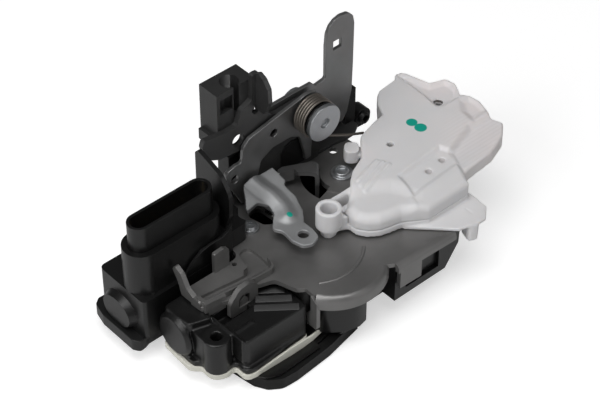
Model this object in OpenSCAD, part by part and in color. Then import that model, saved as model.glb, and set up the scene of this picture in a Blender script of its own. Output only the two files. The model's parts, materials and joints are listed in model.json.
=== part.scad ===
// Door latch with its locking actuators, lying on its steel face plate.
// Z = 0 is the outer side of the face plate. The striker enters along +Y.

/* [Face plate and base] */
// Thickness of the steel face plate
face_t = 3; // [2:0.5:3.5]
// Middle of the striker slot, across the latch
slot_x = -3; // [-4:0.5:-2]
// Width of the striker slot
slot_w = 12; // [11:0.5:12.5]
// Inner end of the striker slot
slot_end = -12; // [-14:0.5:-11]
// Drilled radius of the M6 fixing holes
thread_r = 2.5; // [2.2:0.1:2.8]
// Height of the threaded collars above the plate
collar_h = 2; // [1:0.5:2.4]
// Radius of the threaded collars
collar_r = 4.6; // [4.2:0.1:5]
// Width of the rubber seal round the face plate
seal_w = 3.4; // [2.5:0.1:4]
// Height of the rubber seal
seal_h = 4.7; // [4:0.1:4.7]
// Height of the floor of the lower case
floor_z = 6.2; // [6:0.1:6.4]
// Wall of the plastic mouldings
wall = 1.6; // [1.2:0.1:2]

/* [Main plate] */
// Height of the main plate's top face
top_z = 26; // [25.6:0.2:27]
// Sheet thickness of the main plate
sheet_t = 1.8; // [1.4:0.1:2]
// Radius of the rolled front edge over the fork
dome_r = 19.9; // [19.6:0.1:20.4]
// Depth of the rolled front edge
dome_drop = 5.5; // [4:0.5:6]
// Outer bend radius of pressed edges
bend_r = 2.2; // [1.9:0.1:2.6]
// Radius of the raised disc round the pawl pivot
disc_r = 9.6; // [8:0.2:10]
// Height of pressed beads and discs
bead_h = 0.6; // [0.3:0.1:1]

/* [Fork and pawl] */
// Thickness of the fork and the pawl
catch_t = 6; // [5:0.5:6.5]
// Radius of the fork's locking teeth
tooth_r = 22.5; // [22:0.1:22.6]
// Radius of the fork between the teeth
notch_r = 18; // [17:0.2:18.2]
// Turn of the fork from open to fully latched
fork_turn = 62; // [60:1:62]
// Turn of the pawl from lifted to dropped behind a tooth
pawl_turn = 8; // [7:0.5:8]
// Radius of the fork's pivot pin
fork_pin_r = 4; // [3:0.5:5]
// Radius of the pawl's pivot pin
pawl_pin_r = 3.5; // [3:0.5:4.5]
// Play between a pin and its bore, on the radius
pin_play = 0.05; // [0.02:0.01:0.09]
// Height of the pawl finger's top arm
finger_z = 33.6; // [32.6:0.2:34]
// Sheet thickness of the pressed levers
lever_t = 1.5; // [1.2:0.1:1.8]
// Height of the release arm's front end
arm_z = 31.5; // [31:0.1:32]

/* [Upright levers] */
// Height of the levers' pivot
pivot_z = 52; // [51:0.5:53]
// Place of the levers' pivot along the latch
pivot_x = 13.1; // [12.8:0.1:13.6]
// Radius of the levers' pivot pin
pivot_pin_r = 3.2; // [2.5:0.1:3.6]
// Radius of the pivot's front washer head
washer_r = 6.6; // [6.2:0.1:7]
// Thickness of the washer head
washer_t = 1.6; // [1:0.2:2]
// Mean radius of the lever spring
coil_r = 5.7; // [5.5:0.1:5.9]
// Wire diameter of the lever spring
wire_d = 1.1; // [0.8:0.1:1.2]
// Turns of the lever spring
coil_turns = 5; // [3:1:5]
// Front face of the cable bracket
bracket_y = 13; // [12.9:0.1:13.2]
// Sheet thickness of the cable bracket
bracket_t = 2; // [1.6:0.1:2.1]
// Side of the tall lever's square hole
square_hole = 3.8; // [3:0.2:4.4]
// Height of the tall lever above its pivot
tall_h = 28.3; // [26:0.1:32]

/* [Cable clip block] */
// Width of the cable clip block
clip_w = 16; // [14:0.5:17]
// Depth of the cable clip block
clip_d = 9; // [8:0.5:11]
// Height of the cable clip block
clip_h = 21; // [18:0.5:22]
// Radius of the cable end's seat
cable_r = 3.4; // [3:0.1:3.5]

/* [Rear motor housing] */
// Length of the rear housing
rear_l = 37.8; // [36:0.2:37.8]
// Depth of the rear housing
rear_d = 23.7; // [22:0.1:24]
// Height of the rear housing's lid
rear_top = 26.6; // [26.4:0.1:27]
// Height of the connector deck
deck_top = 34; // [32:0.5:35]
// Height of the connector collar
collar_top = 44; // [42:0.5:46]
// Height of the connector rim
rim_z = 54; // [50:0.5:56]
// Length of the connector shroud
shroud_l = 33.4; // [31:0.2:33.6]
// Width of the connector shroud
shroud_w = 8.4; // [8.2:0.2:9]
// Number of connector pins in a row
pin_count = 9; // [5:1:10]
// Top of the splash fin
fin_top = 60; // [56:1:62]

/* [Front motor housing] */
// Height of the front housing's main lid
front_top = 21.5; // [21:0.1:21.8]
// Height of its motor end
front_end_top = 24; // [23:0.5:24.6]
// Bottom of the front housing
front_z = 7.8; // [7.6:0.1:8]
// Thickness of the pale base gasket
gasket_t = 2.2; // [1.6:0.1:2.4]

/* [Actuator case] */
// Height of the actuator case's lid
case_top = 37; // [36.6:0.1:37.6]
// Joint between the case's lid and its base
case_split = 29.5; // [29:0.1:30]
// Bottom of the case's motor pocket
pocket_z = 23; // [21:0.5:23.4]
// Height of the case's screw boss
boss_h = 11.8; // [11:0.2:12.6]
// Outer radius of the screw boss
boss_r = 4.5; // [4.2:0.1:4.7]
// Bore of the screw boss
boss_bore = 2.9; // [2.4:0.1:3.2]

/* [Motors and gears] */
// Radius of the small motors
motor_r = 6; // [5:0.2:6.4]
// Length of the small motors
motor_l = 16.4; // [15:0.2:16.6]
// Flat-to-flat height of the small motors
motor_flat = 8.6; // [8:0.2:8.6]
// Radius of the motor shafts
shaft_r = 1; // [0.8:0.1:1.2]
// Worm pitch
worm_pitch = 2.5; // [2.5:0.1:2.5]
// Mean radius of the worms
worm_r = 2.8; // [2.6:0.1:3]
// Height of the worm thread about its mean radius
worm_e = 0.7; // [0.5:0.1:0.7]
// Teeth on the two small worm wheels
small_teeth = 12; // [12:1:12]
// Teeth on the actuator's worm wheel
large_teeth = 24; // [24:1:24]
// Width of the worm wheels
wheel_w = 3; // [2:0.2:3.4]
// Play between worm and wheel
mesh_play = 0.3; // [0.25:0.05:0.4]

/* [Hidden] */
$fn = 48;
gap = 0.3;
under_z = top_z - sheet_t;

// Places of the main axes
fork_at = [-13.5, -20];
pawl_at = [19.6, 0];
boss_at = [-3.9, -18.8];
screw_at = [-22.2, 0.6];
release_at = [-9.5, 2.5];
// Middle of the pawl finger's riser, its turn and its widths above and below the main plate
riser_at = [9.6, 2.9];
riser_turn = 138;
riser_w = [6, 4.2];

// Unit vector of v
function unit(v) = v / norm(v);
// Point at radius r and angle a about c
function polar(r, a, c = [0, 0]) = [c[0] + r * cos(a), c[1] + r * sin(a)];
// Points of an arc about c
function arc(c, r, a0, a1, n = 8) = [for (i = [0:n]) polar(r, a0 + (a1 - a0) * i / n, c)];
// Left turn is positive
function cross2(u, v) = u[0] * v[1] - u[1] * v[0];
// Arc points that round the corner b of the path a, b, c with radius r
function corner(a, b, c, r, n) =
    let (u = unit(a - b), v = unit(c - b), half = acos(max(-1, min(1, u * v))) / 2)
    r <= 0 || half > 88 ? [b] :
    let (reach = min(r / tan(half), norm(a - b) * 0.49, norm(c - b) * 0.49),
         rr = reach * tan(half), m = b + unit(u + v) * (rr / sin(half)),
         p = b + u * reach, q = b + v * reach,
         a0 = atan2(p[1] - m[1], p[0] - m[0]), a1 = atan2(q[1] - m[1], q[0] - m[0]),
         d = a1 - a0, turn = d > 180 ? d - 360 : d < -180 ? d + 360 : d)
    [for (i = [0:n]) polar(rr, a0 + turn * i / n, m)];
function xy(p) = [p[0], p[1]];
// Outline of [x, y, radius] corners as plain points
function rounded(pts, n = 4) = let (k = len(pts)) [for (i = [0:k - 1])
    each corner(xy(pts[(i + k - 1) % k]), xy(pts[i]), xy(pts[(i + 1) % k]), pts[i][2], n)];
// The same outline moved inwards by w (corners run anticlockwise)
function inset(pts, w) = let (k = len(pts)) [for (i = [0:k - 1])
    let (a = xy(pts[(i + k - 1) % k]), b = xy(pts[i]), c = xy(pts[(i + 1) % k]),
         u = unit(b - a), v = unit(c - b), turn = cross2(u, v),
         nu = [-u[1], u[0]], nv = [-v[1], v[0]], m = nu + nv,
         p = b + m * (w / (1 + nu * nv)))
    [p[0], p[1], turn > 0 ? max(pts[i][2] - w, 0.3) : pts[i][2] + w]];

// Flat outline standing between two heights
module slab(pts, z0, z1) {
    translate([0, 0, z0]) linear_extrude(z1 - z0) polygon(rounded(pts));
}
// Outline in X and Z, between two depths
module upright(y0, y1) {
    translate([0, y1, 0]) rotate([90, 0, 0]) linear_extrude(y1 - y0) children();
}
// Outline in Y and Z, between two places along X
module endways(x0, x1) {
    translate([x0, 0, 0]) rotate([90, 0, 90]) linear_extrude(x1 - x0) children();
}
// Round bar along Y
module bar_y(x, z, r, y0, y1) {
    translate([x, y1, z]) rotate([90, 0, 0]) cylinder(r = r, h = y1 - y0);
}
// Round bar along X
module bar_x(y, z, r, x0, x1) {
    translate([x0, y, z]) rotate([0, 90, 0]) cylinder(r = r, h = x1 - x0);
}
// Upright round bar
module post(p, r, z0, z1) {
    translate([p[0], p[1], z0]) cylinder(r = r, h = z1 - z0);
}
// Bar with round ends, flat
module oval(l, w) {
    square([l - w, w], center = true);
    for (s = [-1, 1]) translate([s * (l - w) / 2, 0]) circle(d = w);
}
// Pie slice
module sector(r, a0, a1) {
    polygon(concat([[0, 0]], arc([0, 0], r, a0, a1, ceil((a1 - a0) / 5))));
}
// Wire of diameter d through the points p, closed at both ends
module wire(p, d, sides = 8) {
    k = len(p);
    rings = [for (i = [0:k - 1])
        let (t = unit(p[min(i + 1, k - 1)] - p[max(i - 1, 0)]),
             s = unit(cross(abs(t[2]) > 0.9 ? [1, 0, 0] : [0, 0, 1], t)), b = cross(t, s))
        for (j = [0:sides - 1]) p[i] + (s * cos(j * 360 / sides) + b * sin(j * 360 / sides)) * d / 2];
    skin = [for (i = [0:k - 2]) for (j = [0:sides - 1]) let (m = (j + 1) % sides)
        each [[i * sides + j, (i + 1) * sides + j, (i + 1) * sides + m],
              [i * sides + j, (i + 1) * sides + m, i * sides + m]]];
    ends = [[for (j = [0:sides - 1]) j], [for (j = [sides - 1:-1:0]) (k - 1) * sides + j]];
    polyhedron(rings, concat(skin, ends));
}
// Points of a coil about Z from height z0, turned a0 at its start
function coil(r, pitch, turns, a0 = 0, per = 14) =
    [for (i = [0:turns * per]) [r * cos(a0 + i * 360 / per), r * sin(a0 + i * 360 / per), pitch * i / per]];

// Outline of the face plate and its seal, open to the slot
base_line = [[-33, -8, 2], [-55.6, -8, 4], [-55, -25, 10], [-53.2, -36.6, 3], [-50.8, -41, 3],
             [-46.6, -43.9, 5], [-40.5, -44.3, 5], [-25.2, -43.2, 8], [slot_x - slot_w / 2 - 0.6, -40.2, 2],
             [slot_x + slot_w / 2 + 0.6, -33.2, 2], [23, -33.2, 6], [26.5, -20, 6], [26.5, 10, 6],
             [-30, 10, 4]];
thread_holes = [[-42, -32], [14, -24.4], [-8, 1]];

// Room for the striker, from the front
module slot_cut(z0, z1, play = 0) {
    w = slot_w + 2 * play;
    translate([slot_x, 0, z0]) linear_extrude(z1 - z0) {
        translate([0, slot_end - slot_w / 2]) circle(d = w);
        translate([-w / 2, -60]) square([w, 60 + slot_end - slot_w / 2]);
    }
}

module face_plate() color([0.2, 0.2, 0.21]) difference() {
    union() {
        slab(inset(base_line, seal_w + gap), 0, face_t);
        for (p = thread_holes) post(p, collar_r, 0, face_t + collar_h);
    }
    slot_cut(-1, face_t + 1);
    for (p = thread_holes) post(p, thread_r, -1, face_t + collar_h + 1);
    post(fork_at, fork_pin_r - 0.5, -1, face_t + 1);
    post(pawl_at, pawl_pin_r - 0.5, -1, face_t + 1);
}

module seal_pad() color([0.08, 0.08, 0.09]) difference() {
    slab(base_line, 0, seal_h);
    slab(inset(base_line, seal_w), -1, seal_h + 1);
    slot_cut(-1, seal_h + 1, 0.6);
}

// Walls round the fork and the pawl, and the tray under the front housing
case_line = concat([[-28.4, 12.5, 3], [-28.4, -31.6, 1], [-25.8, -33.6, 0.5]],
    [for (p = arc([-11.1, -27.8], dome_r - sheet_t - 0.5, 214, 262, 6)) [p[0], p[1], 0]],
    [[slot_x - slot_w / 2 - 0.4, -44.4, 1], [slot_x - slot_w / 2 - 0.4, -41, 0.4],
     [slot_x + slot_w / 2 + 0.3, -41, 0.4], [slot_x + slot_w / 2 + 0.3, -44.4, 0.5],
     [27, -44.4, 1], [27, 12.5, 4]]);
tray_line = [[-28, -8.8, 1], [-56.4, -8.8, 3], [-56.2, -25, 9], [-54, -36.2, 3], [-50.6, -40.8, 3],
             [-46.4, -42.6, 5], [-28, -42, 1]];
// The same walls where they stand on the seal
low_line = [[-28.4, 12.5, 3], [-28.4, -31.6, 1], [-25.4, -36, 2], [-19, -41.8, 3], [-12, -43.2, 1],
            [slot_x - slot_w / 2 - 0.4, -42.6, 0.5], [slot_x - slot_w / 2 - 0.4, -30, 0],
            [slot_x + slot_w / 2 + 0.3, -30, 0], [slot_x + slot_w / 2 + 0.3, -33, 1], [22.6, -33, 5],
            [27, -20, 4], [27, 12.5, 4]];

box_z = 7.8;
module lower_case() color([0.1, 0.1, 0.11]) difference() {
    union() {
        slab(inset(base_line, seal_w + gap), face_t + 0.1, floor_z - 1);
        slab(low_line, seal_h + gap, 9);
        slab(case_line, box_z, under_z);
        upright(-44.4, -33) polygon([[slot_x + slot_w / 2 + 0.3, box_z], [27.4, box_z], [33.4, 16.4],
                                     [33.8, under_z], [slot_x + slot_w / 2 + 0.3, under_z]]);
        slab(tray_line, seal_h + gap, front_z - gasket_t);
    }
    // Chamber of the fork and the pawl
    translate([0, 0, floor_z]) linear_extrude(40) intersection() {
        polygon(rounded(inset(case_line, wall)));
        translate([-60, -41]) square([120, 60]);
        union() {
            translate(fork_at) circle(r = tooth_r + 0.8);
            polygon(rounded([[-22, -6, 2], [26, -9.4, 5], [26, 10.6, 5], [-22, 10.6, 4]]));
        }
    }
    slot_cut(0, 15.5, 0.3);
    // Pockets over the thread collars, with moulding draft
    for (p = thread_holes) translate([p[0], p[1], 0])
        cylinder(r1 = collar_r + gap + 0.4, r2 = collar_r + gap, h = face_t + collar_h + gap);
    post(screw_at, 1.5, 10, 40);
    // Recess in the front face and lightening pocket
    translate([8.5, -46, 11]) cube([15.5, 3, 9]);
    translate([8.5, -41, 16]) cube([15, 24, 40]);
    post(fork_at, fork_pin_r + 0.05, 0, floor_z + 1);
    post(pawl_at, pawl_pin_r + 0.05, 0, floor_z + 1);
}

gasket_line = [[-29, -6.4, 1], [-67, -6.4, 2], [-68, -21.6, 3], [-65, -24.4, 2], [-65.2, -30, 4],
               [-60.5, -32.2, 4], [-56.8, -31.6, 1], [-57, -37.4, 3], [-53, -38.2, 3],
               [-29, -37, 2]];

module base_gasket() color([0.86, 0.85, 0.78]) difference() {
    slab(gasket_line, front_z - gasket_t, front_z);
    slab(inset(gasket_line, 3.6), 0, front_z + 1);
}

// Main plate, from its left arm round the front
lip_a = [2.8, -44.4];
lip_b = [29, -45.3];
plate_line = concat(
    [[-59, -12.5, 1], [-58.6, -17.8, 1.5], [-50, -20.6, 1], [-38.4, -21.3, 1.5], [-32.2, -23.4, 2.5],
     [-29.6, -31.6, 2], [-27.2, -33.2, 0.8], [-27.4, -38, 0]],
    [for (p = arc([-11.1, -27.8], dome_r - bend_r, 214, 305, 12)) [p[0], p[1], 0]],
    [[lip_a[0], lip_a[1], 0], [lip_b[0], lip_b[1], 1], [34, -40, 3], [36, -22, 3], [34, 15, 4], [24, 24, 3],
     [-12.5, 24, 3], [-12.5, 13.2, 2], [-27, 13.2, 3], [-33.4, 5, 2], [-33.4, -7.2, 3],
     [-55.5, -7.2, 1.5]]);

// Quarter-round pressed edge with a straight skirt; X runs outwards, and its root lies in the sheet
module edge_section(drop, inset = 0) {
    polygon(concat([[-0.3, -inset], [-0.3, inset - sheet_t]], arc([0, -bend_r], bend_r - sheet_t, 90, 0, 3),
                   [[bend_r - sheet_t, -drop], [bend_r, -drop]], arc([0, -bend_r], bend_r, 0, 90, 5)));
}
// Pressed edge along the line from a to b, outer side on the right; its tab hangs between two distances
module edge_run(a, b, drop, tab, tab_drop) {
    d = b - a;
    translate([a[0], a[1], top_z]) rotate([0, 0, atan2(d[1], d[0])]) difference() {
        rotate([90, 0, 90]) linear_extrude(norm(d)) mirror([1, 0]) edge_section(tab_drop, 0.25);
        for (x = [[-1, tab[0]], [tab[1], norm(d) + 1]])
            translate([x[0], -bend_r - 1, -tab_drop - 1])
                cube([x[1] - x[0], bend_r + 2, tab_drop + 1 - drop]);
    }
}

module main_plate() color([0.42, 0.42, 0.42]) {
    difference() {
        union() {
            slab(plate_line, under_z, top_z);
            post(pawl_at, disc_r, top_z - 0.1, top_z + bead_h);
            // Raised rib of the left arm, with its three-cornered end
            slab([[-58.2, -14, 0.8], [-58.2, -18, 0.8], [-38, -20.6, 0.8], [-30.8, -21, 2], [-29, -19.5, 2],
                  [-28.4, -8.4, 2], [-32, -8, 2], [-34.6, -12.6, 3], [-40.5, -16.4, 3]],
                 top_z - 0.1, top_z + 2.4);
        }
        // Arc slot of the pawl finger
        translate([pawl_at[0], pawl_at[1], under_z - 1]) linear_extrude(10) difference() {
            sector(14.6, 122, 196);
            circle(r = 7.8);
        }
        post(pawl_at, pawl_pin_r - 0.45, 0, 40);
        post(screw_at, 1.8, 0, 40);
        post([26.1, 11.6], 1.6, 0, 40);
        post(boss_at, 1.6, 0, 40);
        slab([[-19, 6, 2], [-17.5, -1, 2], [-13, -4.5, 2], [-12.6, 0.5, 1], [-13.4, 7.6, 2]], 0, 40);
        post([-37.4, -9], 0.9, 0, 40);
    }
    // Rolled edge over the fork
    translate([-11.1, -27.8, top_z]) rotate([0, 0, 213]) rotate_extrude(angle = 94)
        translate([dome_r - bend_r, 0]) edge_section(dome_drop);
    // Deep tab at its left end
    endways(-27.9, -26.3) polygon(rounded([[-39.4, top_z - 3, 0], [-39.4, 11.2, 0.6], [-34.6, 11.2, 0.6],
                                           [-34.6, 16, 0.6], [-36.4, 18, 0.5], [-36.4, top_z - 1, 0]]));
    // Front lip to the right of the slot, with its tab over the lower case
    edge_run(lip_a, lip_b, 3.4, [0.8, 10.4], 10.6);
    // Pressed bead beside the rolled edge
    translate([-12.8, -19, top_z - 0.1]) rotate([0, 0, 238]) rotate_extrude(angle = 78)
        translate([18.4, 0]) circle(r = bead_h, $fn = 16);
    // Cable hook, upright tab, folded flange and snap pad of the arm
    endways(-59, -57.3) polygon(rounded([[-17, top_z - 1, 0], [-7.6, top_z - 1, 0.5], [-6, 30, 1.5],
                                         [-3.4, 34, 1],
                                         [-4.4, 36, 0.8], [-7.6, 34.4, 1.5], [-10.4, 29.4, 2],
                                         [-13.6, top_z + 2, 1.5], [-17, top_z + 2, 1]]));
    upright(-8.2, -6.7) polygon(rounded([[-45, top_z - 1, 0], [-38.8, top_z - 1, 0], [-38.8, 33.6, 1],
                                         [-41, 34.8, 0.6], [-45, 34.4, 0.6]]));
    translate([-58.2, -18.2, 0]) rotate([0, 0, -7.3])
        upright(-0.9, 0.6) polygon([[0, 24.2], [1.2, 24.2], [1.2, 22.5], [8, 22.8], [8, top_z + 2.3],
                                    [0, top_z + 2.3]]);
    upright(-22.2, -20.4) difference() {
        polygon(rounded([[-50.4, 18.6, 1], [-40, 18.6, 1], [-38.4, 19.6, 1], [-38.4, 28, 3], [-42, 30, 3],
                         [-46.5, 29.2, 4], [-50.2, 25, 3]]));
        polygon(rounded([[-46.6, 21.2, 0.3], [-41.8, 21.2, 0.3], [-41.8, 26.4, 2.2], [-46.6, 26.4, 2.2]]));
    }
    // Snap tooth in the pad's window
    upright(-21.8, -21) polygon([[-46, 21], [-42.4, 21], [-42.4, 23.4], [-44.2, 25.4], [-46, 23.4]]);
}

module plate_screw() color([0.75, 0.77, 0.74]) difference() {
    union() {
        post(screw_at, 1.4, 13.4, top_z + 0.1);
        post(screw_at, 3.1, top_z, top_z + 1.1);
        translate([screw_at[0], screw_at[1], top_z + 1.1]) cylinder(r1 = 2.6, r2 = 2, h = 0.8);
    }
    translate([screw_at[0], screw_at[1], top_z + 0.9]) cylinder(r = 1.3, h = 3, $fn = 6);
}

module fork_pivot() color([0.7, 0.7, 0.68]) {
    post(fork_at, fork_pin_r - 0.52, 0.1, 4.1);
    post(fork_at, fork_pin_r, 4, under_z);
}

// Fork in its latched place, seen from above
module fork_shape() difference() {
    union() {
        circle(r = 9.8);
        sector(notch_r, 12, 121);
        sector(tooth_r, 87, 96);
        sector(tooth_r, 112, 120);
        sector(19.6, 14, 42);
        polygon(rounded([[-6, -6, 3], [4, -4.4, 0], [18.2, -4.4, 1.2], [18.6, -7.2, 1.5], [16.6, -11, 3],
                         [7, -13, 5], [-3, -9, 3]]));
    }
    translate([10.5, 0]) circle(r = 5.2);
    translate([10.5, -5.2]) square([30, 10.4]);
}

module fork() color([0.55, 0.54, 0.5]) difference() {
    translate([fork_at[0], fork_at[1], floor_z + 0.2]) rotate([0, 0, -fork_turn])
        linear_extrude(catch_t) fork_shape();
    post(fork_at, fork_pin_r + pin_play, 0, 40);
}

module fork_spring() color([0.7, 0.7, 0.68]) translate([fork_at[0], fork_at[1], floor_z + catch_t + 1.2]) {
    r = fork_pin_r + 1.8;
    wire(concat([[-8, -r, 0]], coil(r, 1.7, 3, -90, 12)), 1.4, 6);
}

module pawl_pivot() color([0.78, 0.8, 0.77]) difference() {
    union() {
        post(pawl_at, pawl_pin_r - 0.52, 0.1, 4.1);
        post(pawl_at, pawl_pin_r, 4, under_z);
        post(pawl_at, pawl_pin_r - 0.5, under_z - 0.1, top_z + bead_h + 0.1);
        post(pawl_at, 4, top_z + bead_h, top_z + bead_h + 0.8);
        translate([pawl_at[0], pawl_at[1], top_z + bead_h + 0.8]) cylinder(r1 = 3, r2 = 2.6, h = 1);
    }
    translate([pawl_at[0], pawl_at[1], top_z + bead_h + 0.8]) cylinder(r = 1.9, h = 3);
}

// Pawl in its dropped place, about its own pivot
module pawl_shape() {
    tip = fork_at - pawl_at;
    circle(r = 5.4);
    polygon(rounded([[tip[0] + 1.9, tip[1] + notch_r + 0.45, 0.6], [tip[0] + 7.6, tip[1] + notch_r + 0.45, 1],
                     [tip[0] + 9.2, tip[1] + tooth_r - 0.9, 1.5], [-6, -1.6, 1.5], [0, -5.2, 0], [0, 5.2, 0],
                     [-8, 5.2, 2], [tip[0] + 3.2, tip[1] + tooth_r + 2.6, 2]]));
}

module pawl() color([0.5, 0.5, 0.48]) translate([pawl_at[0], pawl_at[1], floor_z + 0.2]) difference() {
    rotate([0, 0, -pawl_turn]) linear_extrude(catch_t) pawl_shape();
    translate([0, 0, -1]) cylinder(r = pawl_pin_r + pin_play, h = 40);
}

module pawl_finger() color([0.36, 0.36, 0.37]) {
    foot_z = floor_z + 0.2 + catch_t;
    d = polar(1, riser_turn);
    w = riser_w[1] / 2 * polar(1, riser_turn - 90);
    difference() {
        union() {
            post(pawl_at, 5.4, foot_z, foot_z + lever_t);
            translate([0, 0, foot_z]) linear_extrude(lever_t)
                polygon([pawl_at + [-3, 4.4], riser_at + w, riser_at - w, pawl_at + [-2, -4.8],
                         pawl_at + [2, 0]]);
        }
        post(pawl_at, pawl_pin_r + pin_play, 0, 40);
    }
    // Riser with a rounded bend at its top, seen from the side
    translate([riser_at[0], riser_at[1], 0]) rotate([0, 0, riser_turn]) {
        upright(-riser_w[1] / 2, riser_w[1] / 2)
            polygon([[-lever_t, foot_z + 0.1], [0, foot_z + 0.1], [0, 30], [-lever_t, 30]]);
        upright(-riser_w[0] / 2, riser_w[0] / 2) polygon(concat([[-lever_t, top_z + 1.6], [0, top_z + 1.6]],
            arc([1.2, finger_z - lever_t - 1.2], 1.2, 180, 90, 4), [[2, finger_z - lever_t], [2, finger_z]],
            arc([1.2, finger_z - lever_t - 1.2], 1.2 + lever_t, 90, 180, 6)));
    }
    // Top arm and its turned-down front edge
    slab([[-2.2, 8.9, 0.8], [3.6, 6.8, 0.3], [3.2, 4.9, 0.8], [6.8, 1.6, 0], [10.6, 5.9, 0], [1.2, 10.6, 2],
          [-1.2, 10.4, 1]], finger_z - lever_t, finger_z);
    slab([[-2.2, 8.9, 0.3], [3.6, 6.8, 0.3], [4, 7.9, 0.3], [-1.8, 10, 0.3]], finger_z - 4.8, finger_z - 0.2);
}

module pawl_spring() color([0.7, 0.7, 0.68])
    translate([pawl_at[0], pawl_at[1], floor_z + catch_t + lever_t + 1.2]) {
    r = pawl_pin_r + 1.6;
    wire(concat([[-5, -r, 0]], coil(r, 1.5, 4, -90, 12)), 1.1, 6);
}

// Rubber block under the plate that stops the striker
module bump_stop() color([0.12, 0.12, 0.12])
    translate([slot_x, slot_end + 3.4, floor_z + catch_t + 0.6])
        cylinder(r1 = 4.4, r2 = 4.8, h = under_z - floor_z - catch_t - 0.6);

// Plan of the rear housing and of its deck
rear_x = -72;
rear_y = -4;
rear_line = [[rear_x, rear_y, 1.5], [rear_x + rear_l, rear_y, 0.5], [rear_x + rear_l, rear_y + rear_d, 1.5],
             [rear_x, rear_y + rear_d, 2]];
deck_line = [[-46, -3.6, 1], [-36, -3.2, 4], [-26.2, -2.6, 2.5],
             [-24, 4, 2.5], [-24.6, 14, 3], [-34.4, 18, 3], [-46, 18, 1]];
plug_at = [-53.1, 4.1];
cover_z = 10.2;

// Rounded bulge over a motor's end, along -X
module end_bulge(x, y, z, r, out) {
    translate([x, y, z]) rotate([0, -90, 0]) cylinder(r1 = r, r2 = r - 1.4, h = out);
}

module rear_housing() color([0.1, 0.1, 0.105]) {
    difference() {
        union() {
            slab(rear_line, cover_z, rear_top);
            slab(deck_line, top_z + gap, deck_top);
            translate([plug_at[0], plug_at[1], rear_top - 0.2]) linear_extrude(collar_top - rear_top + 0.2)
                oval(shroud_l + 4.4, shroud_w + 4.8);
            intersection() {
                end_bulge(rear_x + 0.2, 5.4, 17.4, 8.4, 4.2);
                translate([-90, -10, cover_z]) cube([40, 40, 40]);
            }
        }
        slab(inset(rear_line, wall), 0, rear_top - wall);
        // Socket for the connector shroud
        translate([plug_at[0], plug_at[1], deck_top - 1]) linear_extrude(40)
            oval(shroud_l + 0.2, shroud_w + 0.2);
        post(screw_at, 4.4, 0, 60);
    }
    // Splash fin
    endways(-33.8, -32.2) polygon(rounded([[-1, deck_top - 1, 0], [14.2, deck_top - 1, 0],
                                           [14.2, fin_top - 1.6, 1],
                                           [12.9, fin_top, 1.2], [8, 58.4, 4], [1.6, 56, 5], [-2.8, 50, 6],
                                           [-2.8, 41, 5], [-0.6, 35.6, 3]], 5));
    // Ramp down from the deck
    upright(-3.6, -0.5)
        polygon([[-52.6, rear_top - 0.2], [-45, rear_top - 0.2], [-45, deck_top], [-46.4, deck_top]]);
    // Ridge on the lid
    slab([[-68.2, 8, 0.3], [-67.2, -3, 0.3], [-66, -3, 0.3], [-67, 8, 0.3]], rear_top - 0.1, rear_top + 0.5);
}

module rear_cover() color([0.11, 0.11, 0.115]) difference() {
    slab([[rear_x - 3.8, -1.4, 2], [rear_x - 2.2, -3.8, 1.5], [rear_x + 0.4, -3.4, 1], [rear_x + 2, -2.8, 1],
          [rear_x + rear_l, -2.8, 1], [rear_x + rear_l, 20, 1], [rear_x, 22, 2], [rear_x - 2.4, 20.2, 2],
          [rear_x - 3.8, 14.4, 3]], 5.4, cover_z);
    slab(inset(rear_line, wall), 5.4 + wall, 20);
}

function pin_places() = [for (i = [0:pin_count - 1]) for (s = [-1, 1])
    [plug_at[0] + (i - (pin_count - 1) / 2) * 2.9, plug_at[1] + s * 1.4]];

module connector_shroud() color([0.07, 0.07, 0.075]) difference() {
    translate([plug_at[0], plug_at[1], deck_top - 1]) linear_extrude(rim_z - deck_top + 1)
        oval(shroud_l, shroud_w);
    translate([plug_at[0], plug_at[1], collar_top - 4]) linear_extrude(40)
        oval(shroud_l - 2.2, shroud_w - 2.2);
    for (p = pin_places()) translate([p[0] - 0.3, p[1] - 0.3, 30]) cube([0.6, 0.6, 40]);
}

module connector_pins() color([0.8, 0.7, 0.45]) for (p = pin_places())
    translate([p[0] - 0.3, p[1] - 0.3, deck_top - 1]) cube([0.6, 0.6, collar_top - deck_top + 4]);

// Can motor along X, its front face at the origin
module motor_body() difference() {
    union() {
        intersection() {
            rotate([0, -90, 0]) cylinder(r = motor_r, h = motor_l);
            translate([-motor_l - 1, -motor_r - 1, -motor_flat / 2])
                cube([motor_l + 2, 2 * motor_r + 2, motor_flat]);
        }
        bar_x(0, 0, 2, -motor_l - 1.2, -motor_l + 0.1);
        bar_x(0, 0, 2, -0.1, 0.6);
    }
    bar_x(0, 0, shaft_r + pin_play, -4, 2);
}

// Pitch radius of a worm wheel with n teeth, and its distance from the worm
function wheel_r(n) = n * worm_pitch / (2 * PI);
function mesh(n) = wheel_r(n) + worm_r + mesh_play;

// Worm of length l along X on a shaft that sticks out by a and b, beside a wheel on its own
// -Y side (side 1) or +Y side (-1)
module worm(l, side, a, b) {
    translate([-l / 2, 0, 0]) rotate([side * 90 - 180 * l / worm_pitch, 0, 0]) rotate([0, 90, 0])
        linear_extrude(l, twist = -360 * l / worm_pitch, slices = l / worm_pitch * 12)
            translate([worm_e, 0]) circle(r = worm_r, $fn = 14);
    bar_x(0, 0, shaft_r, -l / 2 - a, l / 2 + b);
}

// Worm wheel with waves for teeth, bored for its axle
module wheel(n) difference() {
    steps = n * 6;
    union() {
        linear_extrude(wheel_w) polygon([for (i = [0:steps - 1]) let (a = i * 360 / steps)
            polar(wheel_r(n) - mesh_play / 2 + (worm_e - 0.1) * cos(n * a), a)]);
    }
    translate([0, 0, -1]) cylinder(r = axle_r + pin_play, h = 20);
}

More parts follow.
